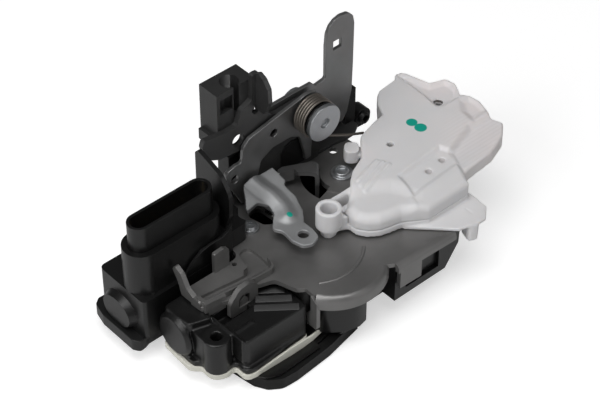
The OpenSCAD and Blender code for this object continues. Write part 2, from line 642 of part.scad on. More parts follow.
// Drives: wheel centre at its middle height, teeth, side of the worm, length of the worm
axle_r = 1.5;
worm_l = 8;
rear_drive = [-43, 11.9, 17];
front_drive = [-44, -12.8 - mesh(small_teeth), 14.8];
case_drive = [42, -16, 30];

module drive_wheel(p, n) translate(p - [0, 0, wheel_w / 2]) wheel(n);
module drive_worm(p, n, side, a = 2, b = 2) translate(p + [0, side * mesh(n), 0]) worm(worm_l, side, a, b);
module drive_motor(p, n, side, dir, away = 0.8)
    translate(p + [dir * (worm_l / 2 + away), side * mesh(n), 0])
        rotate([0, 0, dir > 0 ? 180 : 0]) motor_body();

module lock_motor() color([0.72, 0.72, 0.7]) drive_motor(rear_drive, small_teeth, -1, -1);
module lock_worm() color([0.85, 0.8, 0.6]) drive_worm(rear_drive, small_teeth, -1);
module lock_wheel() color([0.88, 0.88, 0.84]) drive_wheel(rear_drive, small_teeth);
module deadlock_motor() color([0.72, 0.72, 0.7]) drive_motor(front_drive, small_teeth, 1, -1);
module deadlock_worm() color([0.85, 0.8, 0.6]) drive_worm(front_drive, small_teeth, 1);
module deadlock_wheel() color([0.88, 0.88, 0.84]) drive_wheel(front_drive, small_teeth);
module actuator_motor() color([0.72, 0.72, 0.7]) drive_motor(case_drive, large_teeth, 1, 1, 3.9);
module actuator_worm() color([0.85, 0.8, 0.6]) drive_worm(case_drive, large_teeth, 1, 0.3, 5.1);
module actuator_wheel() color([0.88, 0.88, 0.84]) drive_wheel(case_drive, large_teeth);

nub_at = [25.2, 1.2];
lever_z = case_drive[2] + wheel_w / 2;
module output_lever() color([0.9, 0.89, 0.86]) {
    c = xy(case_drive);
    d = nub_at - c;
    difference() {
        union() {
            post(c, 4.4, lever_z, lever_z + 1.6);
            translate([c[0], c[1], lever_z]) rotate([0, 0, atan2(d[1], d[0])]) translate([0, -2.2, 0])
                cube([norm(d), 4.4, 1.6]);
        }
        post(c, axle_r + pin_play, 0, 60);
    }
    post(nub_at, 2.8, 29.4, 34.4);
}

module wheel_axles() color([0.75, 0.75, 0.73]) {
    post(rear_drive, axle_r, 5.4 + wall, rear_top - wall);
    post(front_drive, axle_r, front_z - gasket_t, 16.8);
    post(case_drive, axle_r, case_foot + 1.4, case_top - wall - 1);
}

front_axis = [-12.8, front_drive[2]];
module front_housing() color([0.1, 0.1, 0.105]) difference() {
    union() {
        slab(inset(gasket_line, 0.4), front_z, front_z + 2);
        slab([[-66.2, -6.8, 1.5], [-65.4, -19, 1.5], [-57.4, -21.6, 1], [-57.4, -6.8, 0]],
             front_z, front_end_top - 0.1);
        slab([[-57.6, -6.8, 0], [-57.6, -19.4, 0], [-29, -19.4, 1], [-29, -6.8, 1]], front_z, 22);
        slab([[-57.6, -19, 0], [-57.6, -25, 0], [-29, -25, 1], [-29, -19, 0]], front_z, 17.9);
        slab([[-55.6, -24.4, 0.6], [-55.6, -35.9, 1.5], [-29, -36.2, 1.2], [-29, -24.4, 0.6]],
             front_z, front_top);
        // Screw post and its webs
        post([-60.5, -27], 4.7, front_z, front_top);
        slab([[-63.6, -19, 0], [-63.8, -26, 0], [-55, -30.6, 0], [-55, -19, 0]], front_z, 17.9);
        intersection() {
            union() {
                end_bulge(-65.6, front_axis[0], front_axis[1] + 0.7, 8.3, 4.4);
                bar_x(front_axis[0], front_axis[1], motor_r + 1.4, -66, -47);
            }
            translate([-90, -30, front_z]) cube([60, 40, 16]);
        }
    }
    post([-60.5, -27], 2, 0, 40);
    // Gear chamber and the motor's bore
    slab([[-64.4, -8.4, 1], [-64.4, -18, 1], [-54.4, -18, 0.5], [-54.4, -8.4, 0.5]], 0, 22);
    slab([[-55, -8.4, 0], [-55, -18, 0], [-30.6, -18, 1], [-30.6, -8.4, 1]], 0, 20.6);
    slab([[-52, -17.6, 0], [-52, -34.6, 1], [-30.6, -34.8, 1], [-30.6, -17.6, 0]], 0, 16.9);
    slab([[-54, -26, 1], [-54, -34.4, 1], [-30.6, -34.6, 1], [-30.6, -26, 1]], 0, 20);
    bar_x(front_axis[0], front_axis[1], motor_r + 0.3, -68.6, -47.6);
}

// Bracket that carries the levers' pivot and the cable clip
module cable_bracket() color([0.5, 0.5, 0.48]) {
    b1 = bracket_y + bracket_t;
    difference() {
        upright(bracket_y, b1) polygon(rounded([[-11, top_z, 0], [20, top_z, 0], [22, 45, 3], [20, 53, 4],
            [12, 56.4, 5], [0, 56, 4], [-4.4, 60.6, 2], [-6.2, 66, 2], [-6.2, 78, 0.6], [-9.4, 78.3, 0.8],
            [-9.8, 67.8, 1], [-14.5, 65.8, 1.5], [-16.4, 60.5, 1.5], [-21, 60.2, 2], [-30.7, 61.7, 1],
            [-31.4, 59.2, 1], [-30.7, 55.9, 2], [-27.7, 51.8, 2], [-24.3, 50.1, 1.5], [-15, 49.2, 2],
            [-11, 44, 4]]));
        bar_y(-16.2, 54.1, 2.4, 0, 30);
        bar_y(-7.9, 63.1, 1.9, 0, 30);
        bar_y(pivot_x, pivot_z, pivot_pin_r, 0, 30);
    }
    slab([[-11, bracket_y, 0], [20, bracket_y, 0], [20, 18.6, 1.5], [-11, 18.6, 1.5]],
         top_z, top_z + bracket_t);
    endways(-8, -6.2) polygon(rounded([[14, 63.2, 0], [14, 77.6, 1], [11.9, 78.9, 1], [9.3, 77.7, 1.5],
                                       [7, 74.5, 1.5], [6.7, 69, 2], [8.8, 63.4, 1.5]]));
}

// Square-built cable end holder behind the bracket
module cable_clip() color([0.5, 0.5, 0.5]) {
    x0 = -23.2;
    y0 = bracket_y + bracket_t;
    z0 = 54.5;
    difference() {
        union() {
            translate([x0, y0, z0]) cube([clip_w, clip_d, clip_h]);
            translate([x0 - 1.6, y0 + 2.6, z0 - 1]) cube([clip_w + 1.6, clip_d - 3.4, 4.4]);
        }
        post([x0 + 8.4, y0 + 3.6], cable_r, z0 + 6, 90);
        translate([x0 + 1.4, y0 - 1, z0 + 12.4]) cube([5.4, 3.4, 6]);
        translate([x0 + 8.4 - 1.2, y0 - 1, z0 + 8]) cube([2.4, 5, 40]);
    }
}

module rear_tower() color([0.1, 0.1, 0.11]) {
    y1 = 21.6;
    difference() {
        translate([-18.5, 19.4, top_z]) cube([45.5, y1 - 19.4, 18]);
        for (x = [-9, 5]) translate([x, 10, 33]) cube([10, 20, 6]);
    }
    translate([-18.5, bracket_y + bracket_t + 0.4, top_z]) cube([5.9, y1 - bracket_y - bracket_t - 0.4, 20]);
    translate([20.6, 18.2, top_z]) cube([6.4, y1 - 18.2, 16.6]);
}

module lever_guide() color([0.12, 0.12, 0.13]) difference() {
    union() {
        translate([27, 19.4, 28]) cube([12, 2.2, 6]);
        translate([38, 18.3, 22]) cube([5, 4.4, 19.6]);
        translate([42, 18.3, 22]) cube([4.4, 4.4, 4.4]);
        bar_y(46.4, 26.2, 3.7, 17.8, 22.7);
        bar_y(46.4, 26.2, 2.2, 16.4, 18);
    }
    bar_y(46.4, 26.2, 1.3, 0, 60);
}

// Pivot with its front washer head, spool and rear head, along Y
module pivot_rivet() color([0.75, 0.78, 0.8]) difference() {
    union() {
        bar_y(pivot_x, pivot_z, washer_r, 1.8, 1.8 + washer_t);
        bar_y(pivot_x, pivot_z, 4.6, 1.9 + washer_t - 0.2, 10.8);
        bar_y(pivot_x, pivot_z, pivot_pin_r, 10.7, 17.9);
        bar_y(pivot_x, pivot_z, 5, 17.6, 19);
    }
    bar_y(pivot_x, pivot_z, 1.3, 0, 2.6);
}

module lever_spring() color([0.45, 0.4, 0.36]) {
    y0 = 4.6;
    turn = 60;
    pts = coil(coil_r, 5.6 / coil_turns, coil_turns, turn, 14);
    a = [for (p = pts) [pivot_x + p[0], y0 + p[2], pivot_z - p[1]]];
    s = a[0];
    e = a[len(a) - 1];
    wire(concat([[34.3, y0, 32.9], [s[0] + 2.2, y0, s[2] - 1.6]], a,
                [e + [2.4, 0.2, 1.2]]), wire_d);
}

module arch_lever() color([0.4, 0.4, 0.41]) difference() {
    upright(11, 11 + lever_t) union() {
        translate([pivot_x, pivot_z]) circle(r = 7.2);
        polygon(rounded([[-16.6, 26.6, 0.8], [-12.8, 28.4, 1.5], [-9.8, 34, 3], [-7.9, 41.4, 2],
            [-2.4, 44.3, 4],
            [5.6, 44.3, 4], [9.8, 42.1, 3], [12.3, 32.7, 1], [12.4, 30, 0.6], [15, 30, 0.6], [15.6, 40, 3],
            [20, 50, 0], [13.5, 59.1, 2], [6.2, 57.9, 6], [-7, 55.3, 4], [-13, 54, 3], [-15.7, 51.4, 3],
            [-16.2, 45.4, 1.5], [-19, 45.6, 1.5], [-23.4, 44.4, 1.5], [-23, 38, 2], [-20.5, 34.5, 2]]));
    }
    bar_y(pivot_x, pivot_z, pivot_pin_r + pin_play, 0, 30);
    bar_y(-2, 50.4, 1.6, 0, 30);
    bar_y(-19.6, 39.8, 1.7, 0, 30);
}

module tall_lever() color([0.42, 0.42, 0.42]) difference() {
    top = pivot_z + tall_h;
    upright(bracket_y + bracket_t + 0.5, bracket_y + bracket_t + 0.5 + lever_t) difference() {
        union() {
            translate([pivot_x, pivot_z]) circle(r = 5.8);
            polygon(rounded([[-4, 53.6, 1], [7, 51, 2], [18, 43, 2], [33.9, 32.3, 1.2], [36.2, 35.9, 3],
                [38.3, 45.1, 4], [38.7, 57, 4], [38.9, top - 6, 3], [38.2, top - 2.6, 2], [36, top - 0.6, 2],
                [32.6, top, 3], [29.7, top - 0.7, 3], [27.6, top - 2.3, 3], [26.3, top - 5, 3],
                [25.8, top - 10, 3], [25.8, 56.4, 1.2], [21.2, 55.8, 0.8], [19.4, 57.9, 0.8],
                [-4, 57.9, 1]]));
        }
        translate([31.1, 68.8]) square(square_hole, center = true);
    }
    bar_y(pivot_x, pivot_z, pivot_pin_r + pin_play, 0, 30);
}

// Release arm, a bent plate: its plan is cut out of its side profile
arm_top = [[-26, arm_z], [-8, arm_z], [-2, arm_z + 1], [4, arm_z + 4], [12, arm_z + 6.6]];
module release_arm() color([0.62, 0.63, 0.6]) difference() {
    union() {
        intersection() {
            slab([[-18.2, -21.9, 2], [-15.1, -23.5, 2], [-11.2, -22, 2], [-10.3, -18, 1], [-10.3, -13.6, 1],
                  [-6.7, -9, 2], [-4.4, -2.8, 2], [-5.1, 2.4, 1], [-3.6, 3.4, 0.5], [-4.1, 9.6, 0.6],
                  [-17.6, 9.4, 2], [-20.3, 5.1, 2], [-22.8, 1.9, 0.6], [-17.6, 1.9, 1.5], [-14.9, -0.6, 1.5],
                  [-15.4, -4, 2], [-20.6, -9, 2], [-18.6, -12, 3], [-19.3, -17.5, 3]], 20, 60);
            endways(-30, 0)
                polygon(concat(arm_top, [for (i = [len(arm_top) - 1:-1:0]) arm_top[i] - [0, lever_t]]));
        }
        intersection() {
            post(release_at, 4, 28.2, 60);
            endways(-30, 0) polygon(concat(arm_top, [[12, 20], [-26, 20]]));
        }
    }
    post([-14.4, -17.8], 1.9, 0, 60);
    post(release_at, 2.5 + pin_play, 0, 31.4);
}

module release_pivot() color([0.75, 0.75, 0.73]) {
    post(release_at, 2.5, top_z, 31.1);
    post(release_at, 3.6, top_z, top_z + 1.6);
}

// Outline of the actuator case
lid_line = [[1.8, -20.5, 2], [1.6, -26.2, 3], [4, -29.8, 3], [7.4, -32.3, 3], [11.1, -33.3, 3],
            [15.5, -34.2, 1.5], [19.4, -36.9, 1], [23.5, -39.3, 1], [42.7, -39.3, 1.5], [44.6, -34.6, 2],
            [49.4, -33.9, 3], [60.2, -33, 4], [68.7, -29.8, 4], [74.1, -25, 2], [72.4, -19.8, 1],
            [73.4, -17.6, 1], [75, -12.4, 2], [74.5, -7.8, 1.5], [72.1, -5.2, 1], [73.8, -2.9, 1.5],
            [75.3, 0.5, 2], [74.4, 4.7, 1.5], [68.6, 6.9, 2], [66.3, 15.8, 2], [65, 18, 1.5], [62.4, 18.4, 1],
            [60.7, 16.5, 1], [52.1, 15.6, 3], [49.5, 14.1, 2], [46.3, 10.4, 2], [43.8, 5.2, 1.5],
            [38.8, 4.4, 2], [30, 1.9, 3], [26, -2.6, 3], [22.4, -6.6, 2], [15.5, -9.6, 3],
            [11.4, -12.8, 2], [9.4, -15.4, 1], [5, -18.6, 1]];
// Its upper level, behind the step across the lid
upper_line = [[2.3, -20.6, 2], [8, -26, 3], [25.4, -22.4, 1], [44, -23, 1], [47.4, -20.6, 2], [58, -16.4, 3],
              [74.6, -8.6, 1.5], [71.7, -5.2, 1], [74.9, 0.5, 2], [74, 4.3, 1.5], [68.2, 6.5, 2],
              [65.9, 15.6, 2],
              [64.8, 17.6, 1.5], [62.4, 17.9, 1], [60.9, 16.1, 1], [52.3, 15.2, 3], [49.8, 13.8, 2],
              [46.7, 10.2, 2], [44.1, 4.9, 1.5], [39, 4, 2], [30.2, 1.5, 3], [26.3, -2.9, 3], [22.7, -7, 2],
              [15.7, -10.1, 3], [11.7, -13.2, 2], [9.7, -15.8, 1], [5.4, -18.8, 1]];
pocket_line = [[35.9, -11.6, 2], [69.4, -11.6, 2], [69.4, 4.6, 2], [35.9, 4.2, 2]];
case_foot = top_z + bead_h + 0.2;
case_screws = [[9, -27.6], [39.4, -35.6], [69.6, -12.6], [60, 11.6]];
screw_tip = 34;

module actuator_lid() color([0.85, 0.82, 0.78]) {
    c = xy(case_drive);
    a = atan2(nub_at[1] - c[1], nub_at[0] - c[0]);
    difference() {
        union() {
            slab(lid_line, case_split, case_top - 0.8);
            slab(upper_line, case_top - 1, case_top);
            // Ribs running to the screw boss
            for (y = [-15.6, -19]) translate([boss_at[0] + boss_r - 0.6, y, case_split])
                cube([11.6 - boss_at[0] - boss_r, 1.2, case_top - 1 - case_split]);
        }
        slab(inset(lid_line, wall), 0, case_top - 0.9 - wall);
        // Slot of the output lever
        translate([c[0], c[1], lever_z - 0.4]) linear_extrude(2.4) difference() {
            sector(32, a - 12, a + 26);
            circle(r = 12);
        }
        post(boss_at, boss_r + gap, 0, 60);
        post([34.5, -8.4], 1.4, 0, 60);
        post([64.4, -1.9], 1.9, 0, 60);
        // Two recesses with holes in the lower level
        for (p = [[43.1, -25.3], [35.6, -26.4]]) post(p, 1.2, case_top - 1.9, 60);
    }
    // Sleeves of the screws
    difference() {
        for (p = case_screws) post(p, 2.8, case_split, case_top - 1);
        for (p = case_screws) post(p, 1.25, 0, screw_tip + 0.6);
    }
    // Raised ribs on the upper level
    for (q = [[12, -14.8], [12.6, -18.2]]) translate([q[0], q[1], case_top - 0.1]) rotate([0, 0, 17])
        translate([0, -0.5, 0]) cube([14.6, 1, 0.6]);
}

module actuator_base() color([0.84, 0.81, 0.77]) difference() {
    union() {
        intersection() {
            slab(lid_line, case_foot, case_split);
            translate([-10, -60, 0]) cube([54.6, 90, 60]);
        }
        slab(inset(lid_line, 1.4), case_split - 1.4, case_split);
        slab(pocket_line, pocket_z, case_split);
        // Screw boss on a narrower foot
        post(boss_at, boss_r, top_z + 3.6, top_z + boss_h);
        post(boss_at, 2.8, top_z, top_z + 4);
        slab([[boss_at[0], -20.6, 0], [4, -24.6, 0], [4, -19.6, 0], [boss_at[0], -17.4, 0]],
             case_foot + 0.6, case_split - 0.1);
        slab([[boss_at[0], -20.6, 0], [1.2, -23, 0], [1.2, -19.6, 0], [boss_at[0], -17.4, 0]],
             case_split - 0.2, case_split + 4);
        // Well under the worm wheel
        post(case_drive, wheel_r(large_teeth) + 2, case_foot, case_split);
        // Flange over the plate's corner with its foot and hanging leg
        slab([[15.6, -34, 0.5], [17.3, -35.8, 0.5], [24.4, -43, 1], [29.3, -48, 1], [37.6, -50.2, 1],
              [39.8, -50.4, 1], [44.5, -46.2, 1.2], [45.2, -37.2, 0.6], [42, -34, 0.5]],
             case_foot - 0.5, case_foot + 0.8);
        slab([[34.6, -44.4, 0.6], [33, -49.2, 1.2], [36.2, -50.4, 1.2], [41.6, -46, 1], [40.4, -41, 1]],
             20, case_foot);
    }
    difference() {
        intersection() {
            slab(inset(lid_line, wall), case_foot + 1.6, 60);
            translate([-10, -60, 0]) cube([52.8, 90, 60]);
        }
        for (p = case_screws) post(p, 3.4, 0, case_split);
    }
    slab(inset(pocket_line, wall), pocket_z + wall, 60);
    post(case_drive, wheel_r(large_teeth) + 1, case_foot + 1.4, 60);
    post(boss_at, boss_bore, top_z + 4.4, 60);
    post(boss_at, 1.5, 0, 60);
    translate([37.9, -45.6, 0]) cube([0.8, 3.8, 60]);
    for (p = case_screws) {
        post(p, 1.3, 0, 60);
        post(p, 2.6, 0, case_split - 1.4);
    }
}

module case_screws() color([0.7, 0.7, 0.68]) for (p = case_screws) difference() {
    union() {
        post(p, 1.2, case_split - 1.5, screw_tip);
        post(p, 2.2, case_split - 2.5, case_split - 1.4);
    }
    translate([p[0], p[1], case_split - 3]) cylinder(r = 1, h = 1.4, $fn = 6);
}

module position_switches() color([0.25, 0.25, 0.27]) for (x = [-66.4, -58.4]) {
    translate([x, 13.4, 5.4 + wall]) cube([6.4, 3.2, 6]);
    bar_y(x + 1.8, 5.4 + wall + 3.6, 0.9, 12.4, 13.5);
}

module circuit_carrier() color([0.16, 0.3, 0.2]) difference() {
    slab(inset(rear_line, wall + 0.5), 22.6, 23.8);
    post(rear_drive, axle_r + 0.5, 0, 60);
}

face_plate();
seal_pad();
lower_case();
base_gasket();
main_plate();
plate_screw();
fork_pivot();
fork();
fork_spring();
pawl_pivot();
pawl();
pawl_finger();
pawl_spring();
bump_stop();
rear_housing();
rear_cover();
connector_shroud();
connector_pins();
lock_motor();
lock_worm();
lock_wheel();
front_housing();
deadlock_motor();
deadlock_worm();
deadlock_wheel();
wheel_axles();
position_switches();
circuit_carrier();
cable_bracket();
cable_clip();
rear_tower();
lever_guide();
pivot_rivet();
lever_spring();
arch_lever();
tall_lever();
release_arm();
release_pivot();
actuator_lid();
actuator_base();
actuator_motor();
actuator_worm();
actuator_wheel();
output_lever();
case_screws();
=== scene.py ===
import contextlib
import json
import math
import bmesh
import bpy
import numpy as np
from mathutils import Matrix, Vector

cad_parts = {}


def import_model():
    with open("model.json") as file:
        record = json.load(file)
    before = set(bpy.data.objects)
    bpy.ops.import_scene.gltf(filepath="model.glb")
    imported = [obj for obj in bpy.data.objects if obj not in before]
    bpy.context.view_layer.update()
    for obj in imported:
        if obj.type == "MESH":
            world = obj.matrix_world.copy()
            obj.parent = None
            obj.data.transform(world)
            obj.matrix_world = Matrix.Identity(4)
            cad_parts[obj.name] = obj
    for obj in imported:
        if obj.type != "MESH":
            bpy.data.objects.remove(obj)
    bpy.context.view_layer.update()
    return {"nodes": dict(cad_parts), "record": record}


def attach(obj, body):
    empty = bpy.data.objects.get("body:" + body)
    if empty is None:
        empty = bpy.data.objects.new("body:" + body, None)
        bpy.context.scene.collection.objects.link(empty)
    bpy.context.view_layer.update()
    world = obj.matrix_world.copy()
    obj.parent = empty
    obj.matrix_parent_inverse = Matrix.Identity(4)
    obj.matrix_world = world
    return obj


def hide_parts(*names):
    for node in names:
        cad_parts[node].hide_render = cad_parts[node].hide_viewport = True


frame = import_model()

MM = 0.001
nodes = frame["nodes"]
# Body of each CAD node
BODY = {node: body for body, names in frame["record"]["behaviour"]["bodies"].items() for node in names}


# ---------------------------------------------------------------- node trees
def fill(tree, socket, value):
    """Links the socket to a socket given, or sets a constant on the socket itself."""
    if isinstance(value, Amount):
        value = value.socket
    if isinstance(value, bpy.types.NodeSocket):
        tree.links.new(value, socket)
    else:
        socket.default_value = value


def add_node(tree, kind, settings, inputs, output):
    """Adds a node with these settings and inputs, and returns one of its outputs."""
    node = tree.nodes.new(kind)
    for key, value in settings.items():
        setattr(node, key, value)
    for key, value in inputs.items():
        fill(tree, node.inputs[key], value)
    return node.outputs[output]


class Amount:
    """A shader socket that adds Math nodes when it is used in an expression."""

    def __init__(self, finish, socket):
        self.finish, self.socket = finish, socket

    def maths(self, kind, a, b):
        return self.finish.node("ShaderNodeMath", {"operation": kind}, {0: a, 1: b})

    def __add__(self, other): return self.maths("ADD", self, other)
    def __radd__(self, other): return self.maths("ADD", other, self)
    def __sub__(self, other): return self.maths("SUBTRACT", self, other)
    def __rsub__(self, other): return self.maths("SUBTRACT", other, self)
    def __mul__(self, other): return self.maths("MULTIPLY", self, other)
    def __rmul__(self, other): return self.maths("MULTIPLY", other, self)
    def __truediv__(self, other): return self.maths("DIVIDE", self, other)

    def clamp(self):
        """Held between 0 and 1."""
        return self.finish.node("ShaderNodeClamp", {}, {0: self})

    def spread(self, gain):
        """Noise stretched about its middle, 0.5, and held between 0 and 1."""
        return (self * gain - (gain - 1) / 2).clamp()


class Finish:
    """A node material on a Principled shader."""

    SOFT_EDGE = 0.12    # Width of a painted dot's edge, as a share of its radius

    def __init__(self, name):
        self.material = bpy.data.materials.new(name)
        self.material.use_nodes = True
        self.tree = self.material.node_tree
        self.shader = self.tree.nodes["Principled BSDF"]
        self.place = self.node("ShaderNodeTexCoord", {}, {}, "Object")

    def node(self, kind, settings, inputs, output=0):
        return Amount(self, add_node(self.tree, kind, settings, inputs, output))

    def set(self, **inputs):
        for key, value in inputs.items():
            label = key.replace("_", " ").title().replace("Ior", "IOR")
            fill(self.tree, self.shader.inputs[label], value)
        return self

    def noise(self, scale, detail, rough=0.55):
        return self.node("ShaderNodeTexNoise", {}, {"Vector": self.place, "Scale": scale, "Detail": detail,
                                                    "Roughness": rough})

    def between(self, share, a, b):
        """A mix of two colours; the share is that of the second."""
        a, b = ((*c, 1) if isinstance(c, tuple) else c for c in (a, b))
        return self.node("ShaderNodeMix", {"data_type": "RGBA"}, {0: share, 6: a, 7: b}, 2)

    def bump(self, height, strength, distance):
        return self.set(normal=self.node("ShaderNodeBump", {}, {"Height": height, "Strength": strength,
                                                                "Distance": distance}))

    def distance(self, point):
        return self.node("ShaderNodeVectorMath", {"operation": "DISTANCE"}, {0: self.place, 1: point},
                         "Value")

    def near(self, point, radius):
        """1 within the radius of the point, 0 beyond, with a soft edge."""
        return (1 - (self.distance(point) - radius) / (self.SOFT_EDGE * radius)).clamp()

    def towards(self, point, reach):
        """1 at the point, fading to 0 at the distance that it reaches."""
        return (1 - self.distance(point) / reach).clamp()


# ---------------------------------------------------------------- materials
PAINT = (0.0, 0.36, 0.27)           # Painted marks
MILK = (0.745, 0.738, 0.746)        # Natural white plastic
PAINTED_GLOW = (0.84, 0.775, 0.77)         # Painted glow: the same, lit through where it is thin
RECESS_SHADE = (0.30, 0.27, 0.27)           # Painted shade in small deep recesses
RIDGE_SHADE = (0.62, 0.57, 0.56)          # Painted shade on the fine ridges of its ribbed panel


def grey(value, warm=0.0):
    return (value * (1 + warm), value, value * (1 - warm))


def toned(colour, factor):
    return tuple(c * factor for c in colour)


def moulded(name, base, rough, grain=1400, depth=0.35, shine=0.5):
    """Moulded plastic with spark-eroded grain, faint flow shading and dusty touches."""
    f = Finish(name)
    fine, flow = f.noise(grain, 2.0), f.noise(38, 4.0)
    f.set(base_color=f.between(flow.spread(1.6), toned(base, 0.82), toned(base, 1.22)),
          roughness=rough + 0.16 * (flow - 0.5) + 0.08 * (fine - 0.5), specular_ior_level=shine)
    return f.bump(fine, depth, 0.00006)


def pressed(name, base, rough, warm, metal, marks=(), painted_shade=None):
    """Zinc-flake or zinc-plated sheet: cloudy tone, fine sparkle, faint drawing lines.

    Painted shade darkens a given place towards its middle, and marks are painted dots."""
    f = Finish(name)
    cloud, flake, lines = f.noise(46, 5.0, 0.6), f.noise(2600, 1.0), f.noise(240, 2.0, 0.5)
    colour = f.between(cloud.spread(1.8), grey(base * 0.82, warm), grey(base * 1.18, warm))
    # Painted shade, darker towards the place's middle
    if painted_shade:
        colour = f.between((f.towards(*painted_shade) * 1.6).clamp() * 0.75, colour, grey(base * 0.30, warm))
    for mark in marks:
        dot = f.near(*mark)
        colour, metal = f.between(dot, colour, PAINT), metal * (1 - dot)
    f.set(base_color=colour, metallic=metal, roughness=rough + 0.20 * (cloud - 0.5) + 0.10 * (flake - 0.5))
    return f.bump(flake * 0.6 + lines * 0.4, 0.18, 0.00004)


def milky(name, marks=(), painted_glows=(), recess_shades=(), ribbed=None):
    """Natural white moulding, a little translucent, with soft sink marks and painted dots.

    Thin places get a painted glow where light shines through, deep small recesses painted shade, and a ribbed
    panel fine ridges along X with painted shade."""
    f = Finish(name)
    sink, fine = f.noise(60, 3.0), f.noise(1800, 1.0)
    colour = f.between(sink.spread(1.5), toned(MILK, 0.955), toned(MILK, 1.03))
    height = sink * 0.7 + fine * 0.3
    # Painted glow: a lighter, warmer colour where light shines through thin places
    for place in painted_glows:
        colour = f.between(f.towards(*place) * 0.85, colour, PAINTED_GLOW)
    # Painted shade darkens small deep recesses
    for place in recess_shades:
        colour = f.between(f.near(*place) * 0.6, colour, RECESS_SHADE)
    if ribbed:
        middle, reach, pitch = ribbed
        across = f.node("ShaderNodeSeparateXYZ", {}, {0: f.place}, "Y") * (2 * math.pi / pitch)
        wave = f.node("ShaderNodeMath", {"operation": "SINE"}, {0: across})
        ridge = wave * (f.towards(middle, reach) * 2).clamp()
        # Painted shade on one side of each fine ridge, which also stands in the bump
        colour = f.between((ridge * 0.10 + 0.05).clamp(), colour, RIDGE_SHADE)
        height = height + ridge * 0.5
    for mark in marks:
        colour = f.between(f.near(*mark), colour, PAINT)
    f.set(base_color=colour, roughness=0.55 + 0.12 * (sink - 0.5), subsurface_weight=0.25,
          subsurface_radius=(0.004, 0.0035, 0.003), subsurface_scale=0.6)
    return f.bump(height, 0.12, 0.0002)


black = moulded("black_moulding", grey(0.0055), 0.33)
black_rough = moulded("black_moulding_dull", grey(0.006), 0.42, 900, 0.4)
black_gloss = moulded("black_moulding_smooth", grey(0.005), 0.26, 2200, 0.15)
rubber = moulded("seal_rubber", grey(0.0045), 0.52, 700, 0.4, 0.3)
holder_black = moulded("cable_holder_black", grey(0.022), 0.42, 900, 0.3)
foam = moulded("base_gasket_foam", (0.70, 0.69, 0.62), 0.8, 1600, 0.6)
plate_steel = pressed("plate_zinc_flake", 0.225, 0.44, 0.015, 0.75)
lever_steel = pressed("lever_zinc_flake", 0.235, 0.38, 0.0, 0.8)
bracket_steel = pressed("bracket_zinc_flake", 0.085, 0.40, 0.0, 0.7)
bright = pressed("bright_zinc", 0.40, 0.34, -0.03, 0.9)
# Painted shade on the arm's left flank, which faces the key lamp
arm_bright = pressed("arm_zinc", 0.40, 0.52, -0.015, 0.7, marks=[((-0.0121, -0.0088, 0.0338), 0.0015)],
                     painted_shade=((-0.0195, 0.0050, 0.0355), 0.0120))
pin_steel = pressed("turned_steel", 0.50, 0.28, 0.0, 1.0)
catch_steel = pressed("catch_steel", 0.40, 0.35, 0.06, 1.0)
wire_steel = pressed("spring_wire", 0.20, 0.42, 0.12, 0.85)
can_steel = pressed("motor_can", 0.55, 0.25, 0.0, 1.0)
face_black = pressed("face_plate_black", 0.05, 0.5, 0.0, 0.5)
white = milky("white_moulding")
lid_white = milky("white_lid",
                  marks=[((0.04825, -0.0050, 0.037), 0.0019), ((0.04859, -0.0091, 0.037), 0.0021)],
                  # Painted glow where light shines through thin places
                  painted_glows=[((0.069, 0.004, 0.035), 0.014), ((0.064, -0.028, 0.034), 0.024),
                           ((0.071, -0.013, 0.035), 0.008), ((0.022, -0.004, 0.031), 0.010)],
                  # Painted shade in the two small holes
                  recess_shades=[((0.0431, -0.0253, 0.0348), 0.0013), ((0.0356, -0.0264, 0.0348), 0.0013)],
                  ribbed=((0.062, -0.028, 0.035), 0.019, 0.0015))
brass = Finish("contact_brass")
brass.set(base_color=(0.80, 0.60, 0.28, 1), metallic=1.0, roughness=0.25 + 0.10 * brass.noise(900, 2.0))
gear_white = moulded("gear_acetal", (0.78, 0.77, 0.72), 0.4, 1500, 0.1)
worm_acetal = moulded("worm_acetal", (0.72, 0.64, 0.42), 0.4, 1500, 0.1)
board = moulded("circuit_carrier_green", (0.03, 0.13, 0.06), 0.45, 900, 0.2)


# ---------------------------------------------------------------- meshes and objects
# Distances in metres within which points are joined: in a copied solid, under a skin, after a bevel
SOLID_REACH, SKIN_REACH, BEVEL_REACH = 1.2e-5, 2e-6, 4e-6
FLAT = math.radians(1)          # Faces that turn less than this are joined
BROKEN = math.radians(32)       # Edges that turn more than this are broken
CREASE = math.radians(40)       # Edges that turn more than this stay sharp in the shading


def coat(mesh, finish):
    mesh.materials.clear()
    mesh.materials.append(finish.material)


def finish_piece(o, finish, home):
    """Gives a piece its material and the body of its home node."""
    coat(o.data, finish)
    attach(o, BODY[home])
    return o


def new_object(name, data=None):
    o = bpy.data.objects.new(name, bpy.data.meshes.new(name) if data is None else data)
    bpy.context.scene.collection.objects.link(o)
    return o


@contextlib.contextmanager
def editing(mesh):
    """The mesh opened for editing, and written back at the end."""
    bm = bmesh.new()
    bm.from_mesh(mesh)
    yield bm
    bm.to_mesh(mesh)
    bm.free()


def points_of(mesh):
    """The mesh's points, in millimetres."""
    co = np.empty(len(mesh.vertices) * 3)
    mesh.vertices.foreach_get("co", co)
    return co.reshape(-1, 3) / MM


def move_points(mesh, co):
    mesh.vertices.foreach_set("co", (co * MM).ravel())
    mesh.update()


def shade_smooth(mesh):
    mesh.polygons.foreach_set("use_smooth", [True] * len(mesh.polygons))


def baked(o, tools=()):
    """Puts the result of the object's modifiers in its mesh, and removes the tools that they cut with."""
    mesh = bpy.data.meshes.new_from_object(o.evaluated_get(bpy.context.evaluated_depsgraph_get()))
    o.modifiers.clear()
    old, o.data = o.data, mesh
    bpy.data.meshes.remove(old)
    for tool in tools:
        bpy.data.objects.remove(tool)
    return mesh


def join_points(bm, reach):
    """Joins points that lie closer than the reach and drops faces without area."""
    bmesh.ops.remove_doubles(bm, verts=bm.verts, dist=reach)
    bmesh.ops.dissolve_degenerate(bm, edges=bm.edges, dist=reach / 2)


